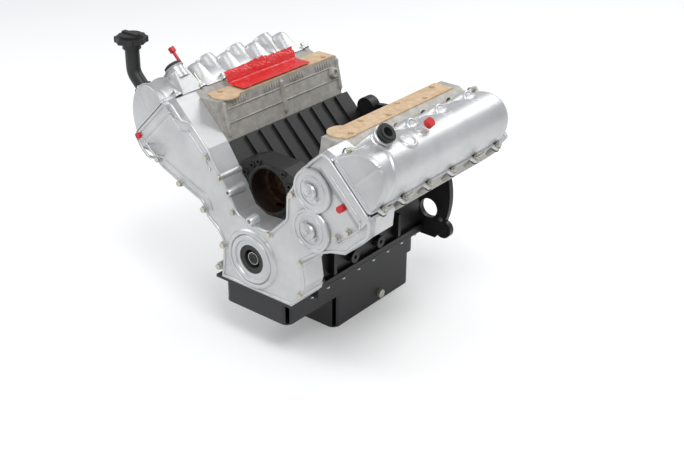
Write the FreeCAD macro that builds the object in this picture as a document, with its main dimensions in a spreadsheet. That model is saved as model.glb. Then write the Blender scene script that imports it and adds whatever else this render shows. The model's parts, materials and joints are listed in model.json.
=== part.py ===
import FreeCAD, Part
import math
import os
import re
import Sketcher
from FreeCAD import Placement, Rotation, Vector

# A 90 degree V8 long block, three valves a cylinder, one camshaft a bank.
# It is laid out with the crank axis along Y, the block's front face at Y 0 and +Z up, and every
# finished piece is then moved forward so that the origin lies on the crank flange's rear face.
# A bank has its own axes: "out" away from the valley, Y along the crank, "up" along the bores.

SIZES = {
    "bore": 90.2,
    "stroke": 105.8,
    "bore_pitch": 100,
    "deck": 256,
    "rod_length": 169.1,
    "pin_to_crown": 33.5,
    "wrist_pin": 22,
    "main_journal": 67.5,
    "rod_journal": 53,
    "running_gap": 0.05,
    "big_end_gap": 0.75,
    "main_one": 22,
    "right_one": 82,
    "left_one": 62,
    "block_length": 460,
    "bank_length": 446,
    "bell_plate": 15,
    "flange_face": 470,
    "skirt_half": 108,
    "crankcase_radius": 100,
    "rail_drop": 81,
    "rail_half": 144,
    "bank_inner": 67,
    "bank_outer": 74,
    "valley_floor": 118,
    "pump_height": 150,
    "pump_bore": 106,
    "bell_radius": 198,
    "bell_rise": 22,
    "window_out": 135,
    "window_bore": 52,
    "head_gasket": 1.2,
    "gallery_floor": 345,
    "cam_axis": 398,
    "cam_out": 17,
    "cam_journal": 26,
    "cover_plane": 404,
    "cover_gasket": 2,
    "cover_inner": 50,
    "cover_outer": 84,
    "cover_front": 81,
    "port_face": 324,
    "port_edge": 154,
    "port_width": 52,
    "front_face": 63,
    "front_wall": 6,
    "seal_outer": 72,
    "seal_inner": 47,
    "snout": 32,
    "right_chain": 22,
    "left_chain": 36,
    "sump_floor": 240,
    "tray_radius": 103,
}

RIGHT, LEFT = 1, -1
THROW_ANGLES = (0, 90, 270, 180)
VALVE_SPREAD = 22
CRANK_TEETH = 18
CRANK_PITCH = CRANK_TEETH * 8 / (2 * math.pi)
CAM_PITCH = 2 * CRANK_PITCH
VCT_OUT = 40
VCT_ALONG = 18
FILLER_OUT = 40
FILLER_ALONG = -25
FILLER_BORE = 19
LEG_HOLES = [(273, 221), (-336, 222)]

COVER_BOLTS = [(-104, -54), (-88, 8), (-146, 82), (-222, 126), (-292, 168), (-131, 217), (-92, 178),
               (-52, 104), (57, 84), (127, 204), (148, 42), (146, -40), (250, 139), (280, 161)]

doc = FreeCAD.newDocument("LongBlock")
sheet = doc.addObject("Spreadsheet::Sheet", "dims")
for row, (word, size) in enumerate(SIZES.items(), start=1):
    sheet.set("A%d" % row, word)
    sheet.set("B%d" % row, str(size))
    sheet.setAlias("B%d" % row, word)
doc.recompute()

NODES = {}


# ---------------------------------------------------------------- rules and primitives

def full(rule):
    """A rule in the sheet's words, with each word given its sheet's name."""
    return re.sub(r"[a-z_]+", lambda word: "dims." + word[0] if word[0] in SIZES else word[0], rule)


def value(rule):
    """The number a rule gives."""
    if not isinstance(rule, str):
        return float(rule)
    return float(probe.evalExpression(full(rule)))


def bind(thing, name, rule):
    """A property set from a number, or bound to the sheet by a rule."""
    if isinstance(rule, str):
        thing.setExpression(name, full(rule))
    elif "." in name:
        thing.setExpression(name, repr(float(rule)))
    else:
        setattr(thing, name, rule)


probe = doc.addObject("App::FeaturePython", "probe")

ALONG = {
    "Z": Rotation(),
    "Y": Rotation(Vector(1, 0, 0), -90),
    "X": Rotation(Vector(0, 1, 0), 90),
}


def seat(thing, at, turn=None):
    """A primitive's place: its corner or base centre, each coordinate a number or a rule."""
    if turn is not None:
        thing.Placement = Placement(Vector(), turn)
    for axis, rule in zip("xyz", at):
        if isinstance(rule, str) or rule:
            bind(thing, "Placement.Base." + axis, rule)
    return thing


def cylinder(name, radius, height, at=(0, 0, 0), along="Z", angle=None):
    thing = doc.addObject("Part::Cylinder", name)
    bind(thing, "Radius", radius)
    bind(thing, "Height", height)
    if angle is not None:
        thing.Angle = angle
    return seat(thing, at, ALONG[along] if isinstance(along, str) else along)


def box(name, size, at):
    thing = doc.addObject("Part::Box", name)
    for edge, rule in zip(("Length", "Width", "Height"), size):
        bind(thing, edge, rule)
    return seat(thing, at)


def fuse(name, pieces):
    thing = doc.addObject("Part::MultiFuse", name)
    thing.Shapes = list(pieces)
    thing.Refine = True
    return thing


def cut(name, base, tools):
    thing = doc.addObject("Part::Cut", name)
    thing.Base = base
    thing.Tool = tools[0] if len(tools) == 1 else group(name + "_tools", tools)
    thing.Refine = True
    return thing


def group(name, pieces):
    thing = doc.addObject("Part::Compound", name)
    thing.Links = list(pieces)
    return thing


def turned(name, side, pieces):
    """Pieces drawn in a bank's own axes, leaned over to that bank."""
    thing = group(name, pieces)
    thing.Placement = Placement(Vector(), Rotation(Vector(0, 1, 0), 45 * side))
    return thing


def mirrored(half):
    """A half outline on the +X side, from bottom to top, closed by its mirror image."""
    return half + [("-(%s)" % x if isinstance(x, str) else -x, z) for x, z in reversed(half)]


def outline(name, corners):
    """A closed sketch in the XZ plane whose corners are bound to the sheet."""
    sketch = doc.addObject("Sketcher::SketchObject", name)
    sketch.Placement = Placement(Vector(), Rotation(Vector(1, 0, 0), 90))
    bind_outline(sketch, corners)
    return sketch


def bind_outline(sketch, corners):
    points = [Vector(value(x), value(z), 0) for x, z in corners]
    count = len(points)
    for index in range(count):
        sketch.addGeometry(Part.LineSegment(points[index], points[(index + 1) % count]), False)
    for index in range(count):
        sketch.addConstraint(Sketcher.Constraint("Coincident", index, 2, (index + 1) % count, 1))
    for index, corner in enumerate(corners):
        for kind, rule, size in zip(("DistanceX", "DistanceY"), corner, points[index][:2]):
            row = sketch.addConstraint(Sketcher.Constraint(kind, -1, 1, index, 1, size))
            if isinstance(rule, str):
                sketch.setExpression("Constraints[%d]" % row, full(rule))


def extrude(name, sketch, start, length):
    """A sketch in the XZ plane carried along +Y from start."""
    thing = doc.addObject("Part::Extrusion", name)
    thing.Base = sketch
    thing.DirMode = "Custom"
    thing.Dir = Vector(0, 1, 0)
    bind(thing, "LengthFwd", length)
    thing.Solid = True
    bind(thing, "Placement.Base.y", start)
    return thing


def inset(name, sketch, depth):
    """The same outline moved inwards by a wall's thickness."""
    thing = doc.addObject("Part::Offset2D", name)
    thing.Source = sketch
    thing.Join = "Intersection"
    bind(thing, "Value", "-(%s)" % depth)
    return thing


def feature(name, shape):
    """A shape made by Part's own functions, kept in the place where it was drawn."""
    thing = doc.addObject("Part::Feature", name)
    thing.Shape = Part.makeCompound([shape])
    return thing


def node(label, thing, side=0):
    """A finished piece: its own name, its bank's lean and its place ahead of the crank flange."""
    thing.Label = label
    if side:
        thing.Placement = Placement(Vector(), Rotation(Vector(0, 1, 0), 45 * side))
    thing.setExpression("Placement.Base.y", full("-flange_face"))
    NODES[label] = thing
    return thing


def side_name(side):
    return "right" if side == RIGHT else "left"


def first_bore(side):
    return "right_one" if side == RIGHT else "left_one"


def head_length(side):
    return "%s + 3 * bore_pitch + 64" % first_bore(side)


# ---------------------------------------------------------------- cylinder block

def bank_out(up, out):
    """World X and Z rules of a point given in the right bank's own axes."""
    return "(%s + %s) / sqrt(2)" % (up, out), "(%s - (%s)) / sqrt(2)" % (up, out)


def casting():
    """The V of the block: skirts, both banks and the valley, then its end plates and bosses."""
    half = [
        ("skirt_half", "-rail_drop"),
        ("skirt_half", "skirt_half - bank_outer * sqrt(2)"),
        bank_out("deck", "bank_outer"),
        bank_out("deck", "-bank_inner"),
        ("valley_floor - bank_inner * sqrt(2)", "valley_floor"),
    ]
    body = extrude("v_casting", outline("v_profile", mirrored(half)), 0, "bank_length")
    front = [("rail_half", "-rail_drop"), ("rail_half", "-rail_drop + 42"), ("skirt_half", "-8")]
    plate = extrude("front_bulkhead", outline("front_profile", mirrored(front)), 0, 24)
    rails = box("pan_rails", ("2 * skirt_half + 22", "block_length", 12),
                ("-skirt_half - 11", 0, "-rail_drop"))
    return fuse("block_solids", [body, plate, rails, *pump_wall(), *bell_plate(), *bank_ribs(),
                                 *mount_bosses()])


def pump_wall():
    """The wall across the front of the valley that holds the water pump's stepped bore."""
    half = [
        ("valley_floor - bank_inner * sqrt(2)", "valley_floor - 20"),
        ("pump_bore / 2 + 52", "pump_height + 20"),
        ("pump_bore / 2 + 30", "pump_height + pump_bore / 2 - 2"),
        ("pump_bore / 2 - 8", "pump_height + pump_bore / 2 + 12"),
    ]
    wall = extrude("pump_housing", outline("pump_profile", mirrored(half)), 0, 62)
    neck = cylinder("pump_neck", "pump_bore / 2 - 4", 96, (0, 0, "pump_height - 4"), "Y")
    return wall, neck


def bell_plate():
    """The bell housing's plate at the back: a round top, two low ears and ribs to the block."""
    start = "block_length - bell_plate"
    disc = cylinder("bell_disc", "bell_radius", "bell_plate", (0, start, "bell_rise"), "Y")
    low = box("bell_low_trim", ("4 * bell_radius", "bell_plate * 3", "2 * bell_radius"),
              ("-2 * bell_radius", "block_length - 2 * bell_plate", "-rail_drop - 16 - 2 * bell_radius"))
    ears = [cylinder("bell_ear", 24, "bell_plate", (x, start, "-rail_drop + 14"), "Y")
            for x in ("bell_radius - 18", "-bell_radius + 18")]
    crests = [cylinder("bell_crest", 26, "bell_plate + 14",
                       (x, "block_length - bell_plate - 14", "bell_rise + bell_radius - 14"), "Y")
              for x in (-62, 62)]
    return cut("bell_trimmed", fuse("bell_sheet", [disc, *ears, *crests]), [low]),


def bank_ribs():
    """Stiffening ribs down both valley walls."""
    ribs = [box("valley_rib", (9, 7, "deck - 140"), ("-bank_inner - 6", 84 + 47 * index, 138))
            for index in range(8)]
    return [turned("right_ribs", RIGHT, ribs),
            turned("left_ribs", LEFT, [box("valley_rib_left", (9, 7, "deck - 140"),
                                           ("bank_inner - 3", 64 + 47 * index, 138))
                                       for index in range(8)])]


def mount_bosses():
    """Four engine mount bosses and a stiffening rib on each skirt."""
    bosses = []
    for side in (RIGHT, LEFT):
        start = "skirt_half - 4" if side == RIGHT else "-skirt_half - 18"
        for y in (160, 260):
            for z in (-45, 0):
                bosses.append(cylinder("mount_boss", 15, 22, (start, y, z), "X"))
        bosses.append(box("skirt_rib", (22, 10, 60), (start, 330, -60)))
        bosses.append(box("skirt_rib", (22, 10, 60), (start, 80, -60)))
    return bosses


def block_hollows():
    """Everything bored or cored out of the casting."""
    tools = [
        box("open_crankcase", ("2 * crankcase_radius", "block_length + 40", "rail_drop + 20"),
            ("-crankcase_radius", -20, "-rail_drop - 20")),
        cylinder("main_tunnel", "main_journal / 2 + 2.5", "block_length + 40", (0, -20, 0), "Y"),
        cylinder("seal_pocket", 60, 60, (0, "main_one + 4 * bore_pitch + 14", 0), "Y"),
        extrude("retainer_recess", retainer_outline("recess_profile", 0.2), "block_length - 6.2", 20),
        cylinder("pump_volute", "pump_bore / 2", 46, (0, -1, "pump_height"), "Y"),
        cylinder("pump_throat", "pump_bore / 2 - 9", 68, (0, -1, "pump_height"), "Y"),
        cylinder("pump_outlet", 19, 85, (16, -1, "pump_height + 10"), "Y"),
    ]
    for index in range(4):
        tools.append(cylinder("crankcase_bay", "crankcase_radius", "bore_pitch - 24",
                              (0, "main_one + 12 + %d * bore_pitch" % index, 0), "Y"))
    for x in (1, -1):
        tools.append(cylinder("bell_window", "window_bore / 2", "2 * bell_plate",
                              ("%d * window_out" % x, "block_length - bell_plate - 6", -20), "Y"))
        for z in (-45, 0):
            for y in (160, 260):
                start = "skirt_half" if x > 0 else "-skirt_half - 20"
                tools.append(cylinder("mount_hole", 5, 20, (start, y, z), "X"))
    for angle in (-20, 30, 62, 118, 150, 200):
        tools.append(cylinder("bell_hole", 6.5, "3 * bell_plate", (
            "(bell_radius - 14) * cos(%d deg)" % angle, "block_length - 2 * bell_plate",
            "bell_rise + (bell_radius - 14) * sin(%d deg)" % angle), "Y"))
    for side in (RIGHT, LEFT):
        local = []
        for index in range(4):
            y = "%s + %d * bore_pitch" % (first_bore(side), index)
            local.append(cylinder("bore_%s" % side_name(side), "bore / 2", 260, (0, y, 30)))
            local.append(box("rod_notch", (104, 50, 20),
                             (-52, "left_one + %d * bore_pitch - 15" % index, 79)))
            if index < 3:
                face = "bank_outer - 6" if side == RIGHT else "-bank_outer - 14"
                local.append(cylinder("core_hole", 18, 20, (face, y + " + 50", 196), "X"))
        for x, y in head_bolt_places(side):
            local.append(cylinder("head_bolt_hole", 6, 90, (x, y, "deck - 85")))
        tools.append(turned("bank_hollows_" + side_name(side), side, local))
    for index in range(5):
        for x in (-50, 50):
            y = "main_one + %d * bore_pitch" % index
            tools.append(cylinder("main_bolt_hole", 6, 62, (x, y, -2)))
    for x, z in COVER_BOLTS:
        tools.append(cylinder("cover_bolt_hole", 4.2, 16, (x, -1, z), "Y"))
    return tools


# ---------------------------------------------------------------- crank and its bearings

def main_caps():
    """Five cross-bolted main caps, each with the lower half of its bearing's seat."""
    half = [(60, -62), (88, -34), (88, -0.3)]
    sketch = outline("cap_profile", mirrored(half))
    caps = [extrude("cap_blank", sketch, "main_one + %d * bore_pitch - 11.5" % index, 23)
            for index in range(5)]
    tunnel = cylinder("cap_tunnel", "main_journal / 2 + 2.5", "block_length", (0, 0, 0), "Y")
    bolts = [cylinder("cap_bolt_hole", 6, 80, (x, "main_one + %d * bore_pitch" % index, -70))
             for index in range(5) for x in (-50, 50)]
    return cut("main_caps", group("cap_blanks", caps), [tunnel, *bolts])


def main_cap_bolts():
    bolts = []
    for index in range(5):
        for x in (-50, 50):
            y = "main_one + %d * bore_pitch" % index
            shank = cylinder("main_bolt_shank", 5.6, 112, (x, y, -63))
            cap = cylinder("main_bolt_head", 9, 9, (x, y, -71))
            bolts.append(fuse("main_bolt", [shank, cap]))
    return group("main_cap_bolts", bolts)


def half_rings(name, inner, outer, width, starts):
    """Plain bearing shells: an upper and a lower half ring about the crank axis at each start."""
    shells = []
    for start in starts:
        for turn in (0.5, 180.5):
            place = Rotation(Vector(0, 1, 0), turn) * ALONG["Y"]
            shell = cut(name + "_shell", cylinder(name, outer, width, (0, start, 0), place, 179),
                        [cylinder(name + "_inside", inner, 60, (0, "%s - 5" % start, 0), "Y")])
            shells.append(shell)
    return group(name, shells)


def throw(index):
    """X and Z of a crankpin's axis at rest."""
    angle = math.radians(THROW_ANGLES[index])
    return value("stroke / 2") * math.sin(angle), value("stroke / 2") * math.cos(angle)


def crank_web(start, width, index):
    """One web: a cheek from the main to the pin and a counterweight opposite the pin."""
    x, z = throw(index)
    angle = THROW_ANGLES[index]
    turn = Rotation(Vector(0, 1, 0), angle)
    neck = value("main_journal / 2 + 6")
    reach = value("stroke / 2")
    weight = 77
    cheek = Part.makeCylinder(neck, width, Vector(0, start, 0), Vector(0, 1, 0))
    pin = Part.makeCylinder(35, width, Vector(0, start, reach), Vector(0, 1, 0))
    bridge = Part.makeBox(66, width, reach, Vector(-33, start, 0))
    sector = Part.makeCylinder(weight, width, Vector(0, start, 0), Vector(0, 1, 0))
    keep = Part.makeBox(2 * weight, width, weight, Vector(-weight, start, -weight - 12))
    web = cheek.multiFuse([pin, bridge, sector.common(keep)])
    web.Placement = Placement(Vector(), turn) * web.Placement
    return web


def crankshaft():
    """Mains, four pins a quarter turn apart, counterweighted webs, snout and flywheel flange."""
    pitch = value("bore_pitch")
    one = value("main_one")
    main = value("main_journal / 2")
    pin = value("rod_journal / 2")
    axis = Vector(0, 1, 0)
    pieces = []
    for index in range(5):
        pieces.append(Part.makeCylinder(main, 28, Vector(0, one + index * pitch - 13, 0), axis))
    for index in range(4):
        x, z = throw(index)
        start = one + index * pitch + 12
        pieces.append(Part.makeCylinder(pin, 46, Vector(x, start + 15, z), axis))
        pieces.append(crank_web(start, 15.5, index))
        pieces.append(crank_web(start + 60.5, 15.5, index))
    flange_start = one + 4 * pitch + 15
    pieces.append(Part.makeCylinder(42, value("flange_face") - flange_start,
                                    Vector(0, flange_start, 0), axis))
    snout = value("snout / 2")
    pieces.append(Part.makeCylinder(19, one + 15, Vector(0, -15, 0), axis))
    tip = -value("front_face") + 3
    pieces.append(Part.makeCylinder(snout, 46, Vector(0, tip + 13, 0), axis))
    pieces.append(Part.makeCylinder(snout - 0.4, 14, Vector(0, tip, 0), axis))
    shaft = pieces[0].multiFuse(pieces[1:])
    holes = [Part.makeCylinder(6, 45, Vector(0, -value("front_face"), 0), axis),
             Part.makeCylinder(14, 20, Vector(0, value("flange_face") - 14, 0), axis)]
    for index in range(8):
        angle = math.radians(45 * index)
        holes.append(Part.makeCylinder(5, 30, Vector(
            31 * math.sin(angle), value("flange_face") - 22, 31 * math.cos(angle)), axis))
    return feature("crankshaft", shaft.cut(Part.makeCompound(holes)).removeSplitter())


def toothed_disc(teeth, radius, depth, width, start, hole):
    """A roller chain sprocket: straight-flanked teeth about a disc, faced square."""
    points = []
    for index in range(teeth):
        for share, reach in ((0, radius - depth), (0.3, radius - depth), (0.42, radius + 1.3),
                             (0.58, radius + 1.3), (0.7, radius - depth)):
            angle = 2 * math.pi * (index + share) / teeth
            points.append(Vector(reach * math.sin(angle), start, reach * math.cos(angle)))
    disc = Part.Face(Part.makePolygon(points + points[:1])).extrude(Vector(0, width, 0))
    return disc.cut(Part.makeCylinder(hole, width, Vector(0, start, 0), Vector(0, 1, 0)))


def crank_sprockets():
    sprockets = []
    for side in (RIGHT, LEFT):
        plane = -value(side_name(side) + "_chain")
        disc = toothed_disc(CRANK_TEETH, CRANK_PITCH, 2.6, 6, plane - 3, value("snout / 2"))
        hub = Part.makeCylinder(19, 6.9, Vector(0, plane - 9.9, 0), Vector(0, 1, 0))
        bore = Part.makeCylinder(value("snout / 2"), 30, Vector(0, plane - 15, 0), Vector(0, 1, 0))
        sprockets.append(disc.fuse(hub.cut(bore)))
    return feature("crank_sprockets", Part.makeCompound(sprockets))


def crank_seals():
    front = cut("front_seal", cylinder("front_seal_ring", "seal_outer / 2", 9,
                                       (0, "-front_face - 1", 0), "Y"),
                [cylinder("front_seal_lip", "seal_inner / 2", 20, (0, "-front_face - 5", 0), "Y")])
    rear = cut("rear_seal", cylinder("rear_seal_ring", 52, 6, (0, "block_length - 6.2", 0), "Y"),
               [cylinder("rear_seal_lip", 42.05, 20, (0, "block_length - 12", 0), "Y")])
    return group("crank_seals", [front, rear])


def retainer_outline(name, gap):
    """The rear seal retainer's edge, or the edge of the recess that it lies in."""
    half = [(94 + gap, "-rail_drop"), (94 + gap, -30 + gap), (70 + gap, 20 + gap), (48 + gap, 58 + gap)]
    return outline(name, mirrored(half))


def rear_seal_retainer():
    """The plate that closes the crankcase behind the last main and holds the rear seal."""
    plate = extrude("retainer_blank", retainer_outline("retainer_profile", 0), "block_length - 6.2", 6)
    return cut("rear_seal_retainer", plate,
               [cylinder("retainer_bore", 52.02, 30, (0, "block_length - 15", 0), "Y")])


# ---------------------------------------------------------------- pistons and rods

def cylinders():
    """Number, bank side, throw index and fore-and-aft place of each cylinder."""
    for side in (RIGHT, LEFT):
        for index in range(4):
            yield (index + (1 if side == RIGHT else 5), side, index,
                   value(first_bore(side)) + index * value("bore_pitch"))


def crank_slider(side, index):
    """Wrist pin height on the bore axis, and the pin's place beside and along that axis."""
    angle = math.radians(THROW_ANGLES[index] - 45 * side)
    radius, length = value("stroke / 2"), value("rod_length")
    beside, along = radius * math.sin(angle), radius * math.cos(angle)
    return along + math.sqrt(length ** 2 - beside ** 2), beside, along


def piston(side, index, y):
    """Crown, ring grooves, skirt cut back at the pin bosses, three rings and the wrist pin."""
    height = crank_slider(side, index)[0]
    radius = value("bore / 2") - 0.3
    crown = height + value("pin_to_crown")
    up = Vector(0, 0, 1)
    body = Part.makeCylinder(radius, 58, Vector(0, y, crown - 58), up)
    inside = Part.makeCylinder(radius - 6, 46, Vector(0, y, crown - 58), up)
    bosses = [Part.makeBox(28, 24, 34, Vector(-14, y + start, height - 17)) for start in (-38, 14)]
    body = body.cut(inside).fuse(bosses[0].common(Part.makeCylinder(
        radius, 90, Vector(0, y, height - 40), up))).fuse(bosses[1].common(Part.makeCylinder(
            radius, 90, Vector(0, y, height - 40), up)))
    tools = [Part.makeCylinder(value("wrist_pin / 2"), 120, Vector(0, y - 60, height),
                               Vector(0, 1, 0))]
    for start in (-60, 36):
        tools.append(Part.makeBox(100, 24, 30, Vector(-50, y + start, crown - 59)))
    rings = []
    for depth, width in ((6, 1.5), (12, 1.5), (18, 2.5)):
        low = crown - depth - width
        groove = Part.makeCylinder(radius + 1, width, Vector(0, y, low), up)
        tools.append(groove.cut(Part.makeCylinder(radius - 3.6, width, Vector(0, y, low), up)))
        ring = Part.makeCylinder(radius + 0.2, width - 0.2, Vector(0, y, low + 0.1), up)
        rings.append(ring.cut(Part.makeCylinder(radius - 3.4, width, Vector(0, y, low), up)))
    pin = Part.makeCylinder(value("wrist_pin / 2") - 0.02, 62, Vector(0, y - 31, height),
                            Vector(0, 1, 0))
    pin = pin.cut(Part.makeCylinder(6, 62, Vector(0, y - 31, height), Vector(0, 1, 0)))
    return Part.makeCompound([body.cut(Part.makeCompound(tools)), *rings, pin])


def rod(side, index, y):
    """A split rod, its cap and two cap bolts, and the two shells round the crankpin."""
    height, beside, along = crank_slider(side, index)
    length = value("rod_length")
    axis = Vector(0, 1, 0)
    half_width = 9.7
    low = Vector(0, y - half_width, 0)
    shell_in = value("rod_journal / 2 + big_end_gap")
    shell_out = shell_in + 1.8
    small = Part.makeCylinder(16, 2 * half_width, low + Vector(0, 0, length), axis)
    beam = Part.makePolygon([low + Vector(*point) for point in (
        (-19, 4, 24), (-9, 4, length - 12), (9, 4, length - 12), (19, 4, 24), (-19, 4, 24))])
    beam = Part.Face(beam).extrude(Vector(0, 2 * half_width - 8, 0))
    channel = Part.makeBox(11, 4, length - 84, low + Vector(-5.5, 3, 52))
    channels = [channel, channel.translated(Vector(0, 2 * half_width - 10, 0))]
    big = Part.makeCylinder(36, 2 * half_width, low, axis)
    shoulders = Part.makeBox(78, 2 * half_width, 44, low + Vector(-39, 0, -22))
    blank = big.fuse(shoulders)
    bore = Part.makeCylinder(shell_out, 2 * half_width, low, axis)
    upper = Part.makeBox(90, 30, 60, Vector(-45, y - 15, 0.05))
    lower = Part.makeBox(90, 30, 60, Vector(-45, y - 15, -60.05))
    bolt_holes = [Part.makeCylinder(4.2, 60, Vector(x, y, -30)) for x in (-34, 34)]
    rod_body = blank.common(upper).multiFuse([beam, small]).cut(Part.makeCompound(
        [bore, *channels, *bolt_holes,
         Part.makeCylinder(value("wrist_pin / 2 + running_gap"), 30,
                           Vector(0, y - 15, length), axis)]))
    cap = blank.common(lower).cut(Part.makeCompound([bore, *bolt_holes]))
    bolts = [Part.makeCylinder(4, 46, Vector(x, y, -24)).fuse(
        Part.makeCylinder(5.6, 5, Vector(x, y, -27.2))) for x in (-34, 34)]
    ring = Part.makeCylinder(shell_out, 2 * half_width - 1, low + Vector(0, 0.5, 0), axis).cut(
        Part.makeCylinder(shell_in, 2 * half_width, low, axis))
    shells = [ring.common(upper), ring.common(lower)]
    whole = Part.makeCompound([rod_body, cap, *bolts, *shells])
    lean = math.degrees(math.asin(-beside / length))
    whole.Placement = Placement(Vector(beside, 0, along), Rotation(Vector(0, 1, 0), lean))
    return Part.makeCompound([whole])


# ---------------------------------------------------------------- heads

def head_outline(side):
    """The head's section in its bank's axes: gasket face, port face, cover rail, outer wall."""
    corners = [
        ("bank_outer", "deck + head_gasket"),
        ("bank_outer + 16", "deck + 30"),
        ("bank_outer + 20", "deck + 70"),
        ("cover_outer + 4", "cover_plane - 36"),
        ("cover_outer", "cover_plane"),
        ("-cover_inner - 4", "cover_plane"),
        ("-cover_inner - 16", "cover_plane - 24"),
        ("(port_edge + port_width - port_face) / sqrt(2)", "(port_edge + port_width + port_face) / sqrt(2)"),
        ("(port_edge - port_face) / sqrt(2)", "(port_edge + port_face) / sqrt(2)"),
        ("(port_edge - port_face) / sqrt(2) + 16", "(port_edge + port_face) / sqrt(2) - 20"),
        ("-bank_inner", "deck + head_gasket"),
    ]
    if side == LEFT:
        corners = [("-(%s)" % x, z) for x, z in corners]
    return outline("head_profile_" + side_name(side), corners)


def plug_well(side, y, radius, low, high):
    """The leaning round well that runs from the cover down to the middle of the chamber."""
    foot = Vector(0, y, 262)
    lean = Rotation(Vector(0, 1, 0), -12.5 * side)
    well = Part.makeCylinder(radius, high - low, Vector(0, 0, low))
    well.Placement = Placement(foot, lean)
    return well


def port(start, end, radius):
    return Part.makeCylinder(radius, (end - start).Length, start, end - start)


def valve_seats(side, y):
    """Seat centre, stem lean and head radius of a cylinder's two intake and one exhaust valves."""
    return [(Vector(-14 * side, y - VALVE_SPREAD, 266), -12 * side, 16.9),
            (Vector(-14 * side, y + VALVE_SPREAD, 266), -12 * side, 16.9),
            (Vector(21 * side, y, 266), 20 * side, 18.7)]


def stem_bore(radius):
    """What one valve needs cut: its seat's mouth, its pocket, its guide and its spring's pocket."""
    steps = [(0, -9), (radius + 0.4, -9), (radius + 0.4, 0), (radius - 1.5, 0), (radius - 1.5, 9),
             (3.6, 9), (3.6, 77), (12.2, 77), (12.2, 110), (0, 110)]
    profile = Part.makePolygon([Vector(x, 0, z) for x, z in steps + steps[:1]])
    return Part.Face(profile).revolve(Vector(), Vector(0, 0, 1), 360)


def head_bolt_places(side):
    """Two head bolts between each pair of bores and beyond the end ones, in the bank's axes."""
    one = first_bore(side)
    rows = ["%s + %d * bore_pitch - 50" % (one, index) for index in range(4)]
    rows.append(one + " + 3 * bore_pitch + 45")
    return [(x * side, y) for y in rows for x in (-36, 46)]


def head_hollows(side):
    """What is cut from one head, in five rounds whose tools don't touch each other."""
    floor, plane = value("gallery_floor"), value("cover_plane")
    length = value(head_length(side))
    out, axis = value("cam_out") * side, value("cam_axis")
    bores = [value(first_bore(side)) + index * value("bore_pitch") for index in range(4)]
    gallery = Part.makeBox(122, length - 8, plane - floor + 1,
                           Vector(-46 if side == RIGHT else -76, -1, floor))
    towers = [Part.makeBox(42, 17, axis - floor, Vector(out - 21, y - 8.5, floor))
              for y in tower_places(side)]
    walls = [plug_well(side, y, 12.9, 70, 160) for y in bores]
    tunnel = Part.makeCylinder(value("cam_journal / 2 + running_gap"), length + 2,
                               Vector(out, -1, axis), Vector(0, 1, 0))
    wells = [plug_well(side, y, 10.8, 30, 200) for y in bores]
    stems = []
    ports = [plug_well(side, y, 6, -2, 31) for y in bores]
    for y in bores:
        for seat_at, lean, radius in valve_seats(side, y):
            stems.append(leaned(stem_bore(radius), seat_at, lean))
            if lean * side < 0:
                start, end, size = Vector(-2 * side, 0, 4), Vector(-112 * side, seat_at.y, 368), 12.5
            else:
                start, end, size = Vector(3 * side, 0, 4), Vector(108 * side, y, 306), 15
            ports.append(port(seat_at + start, end, size))
    holes = [Part.makeCone(value("bore / 2") - 0.6, 36, 9, Vector(0, y, 257)) for y in bores]
    holes += [Part.makeCylinder(6, 120, Vector(x, value(y), 250)) for x, y in head_bolt_places(side)]
    holes += [Part.makeCylinder(3.1, 18, Vector(x, y, plane - 17))
              for x, y in cover_screws(side) if y > 0]
    for x, z in COVER_BOLTS:
        up, beside = (abs(x) + z) / math.sqrt(2), (abs(x) - z) / math.sqrt(2)
        if x * side > 0 and up > value("deck") + 8:
            holes.append(Part.makeCylinder(4.2, 16, Vector(beside * side, -1, up), Vector(0, 1, 0)))
    return [[gallery.cut(Part.makeCompound(towers + walls))], [tunnel, *wells], stems, ports, holes]


def cylinder_head(side):
    name = side_name(side) + "_cylinder_head"
    body = extrude(name + "_body", head_outline(side), 0, head_length(side))
    lugs = [cylinder("head_lug", 9, 26, (x, y, "cover_plane - 26")) for x, y in cover_screws(side)
            if y > 0]
    head = fuse(name + "_solids", [body, *lugs])
    for number, tools in enumerate(head_hollows(side)):
        head = cut("%s_cut_%d" % (name, number), head,
                   [feature("%s_tools_%d" % (name, number), Part.makeCompound(tools))])
    head.Refine = False
    return head


def cover_screws(side):
    """Where the cam cover's screws stand along its flange, in the bank's axes."""
    one = value(first_bore(side))
    outer = [((value("cover_outer") + 5) * side, y) for y in (-40, 30, 120, 210, 300, 390)]
    inner = [-30, 50, one + 64, one + 164, one + 264, cover_end(side) - 6]
    return outer + [(-(value("cover_inner") + 3) * side, y) for y in inner]


def head_gaskets():
    pieces = []
    for side in (RIGHT, LEFT):
        sheet_blank = box("gasket_sheet", ("bank_outer + bank_inner - 4", "bank_length - 20", "head_gasket"),
                          ("-bank_inner + 2" if side == RIGHT else "-bank_outer + 2", 2, "deck"))
        holes = []
        for index in range(4):
            y = "%s + %d * bore_pitch" % (first_bore(side), index)
            holes.append(cylinder("gasket_bore", "bore / 2 + 0.8", 20, (0, y, "deck - 10")))
        for x, y in head_bolt_places(side):
            holes.append(cylinder("gasket_bolt", 6.5, 20, (x, y, "deck - 10")))
        pieces.append(turned("gasket_lean", side, [cut("head_gasket", sheet_blank, holes)]))
    return group("head_gaskets", pieces)


def head_bolts():
    pieces = []
    for side in (RIGHT, LEFT):
        bolts = []
        for x, y in head_bolt_places(side):
            shank = cylinder("head_bolt_shank", 5.6, 170, (x, y, "deck - 80"))
            hexagon = cylinder("head_bolt_head", 8, 10, (x, y, "gallery_floor"))
            bolts.append(fuse("head_bolt", [shank, hexagon]))
        pieces.append(turned("head_bolt_lean", side, bolts))
    return group("head_bolts", pieces)


# ---------------------------------------------------------------- valve train

def tower_places(side):
    """Fore-and-aft centres of the five cam bearings."""
    one, pitch = value(first_bore(side)), value("bore_pitch")
    return [one + (index - 0.5) * pitch for index in range(4)] + [one + 3 * pitch + 42]


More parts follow.
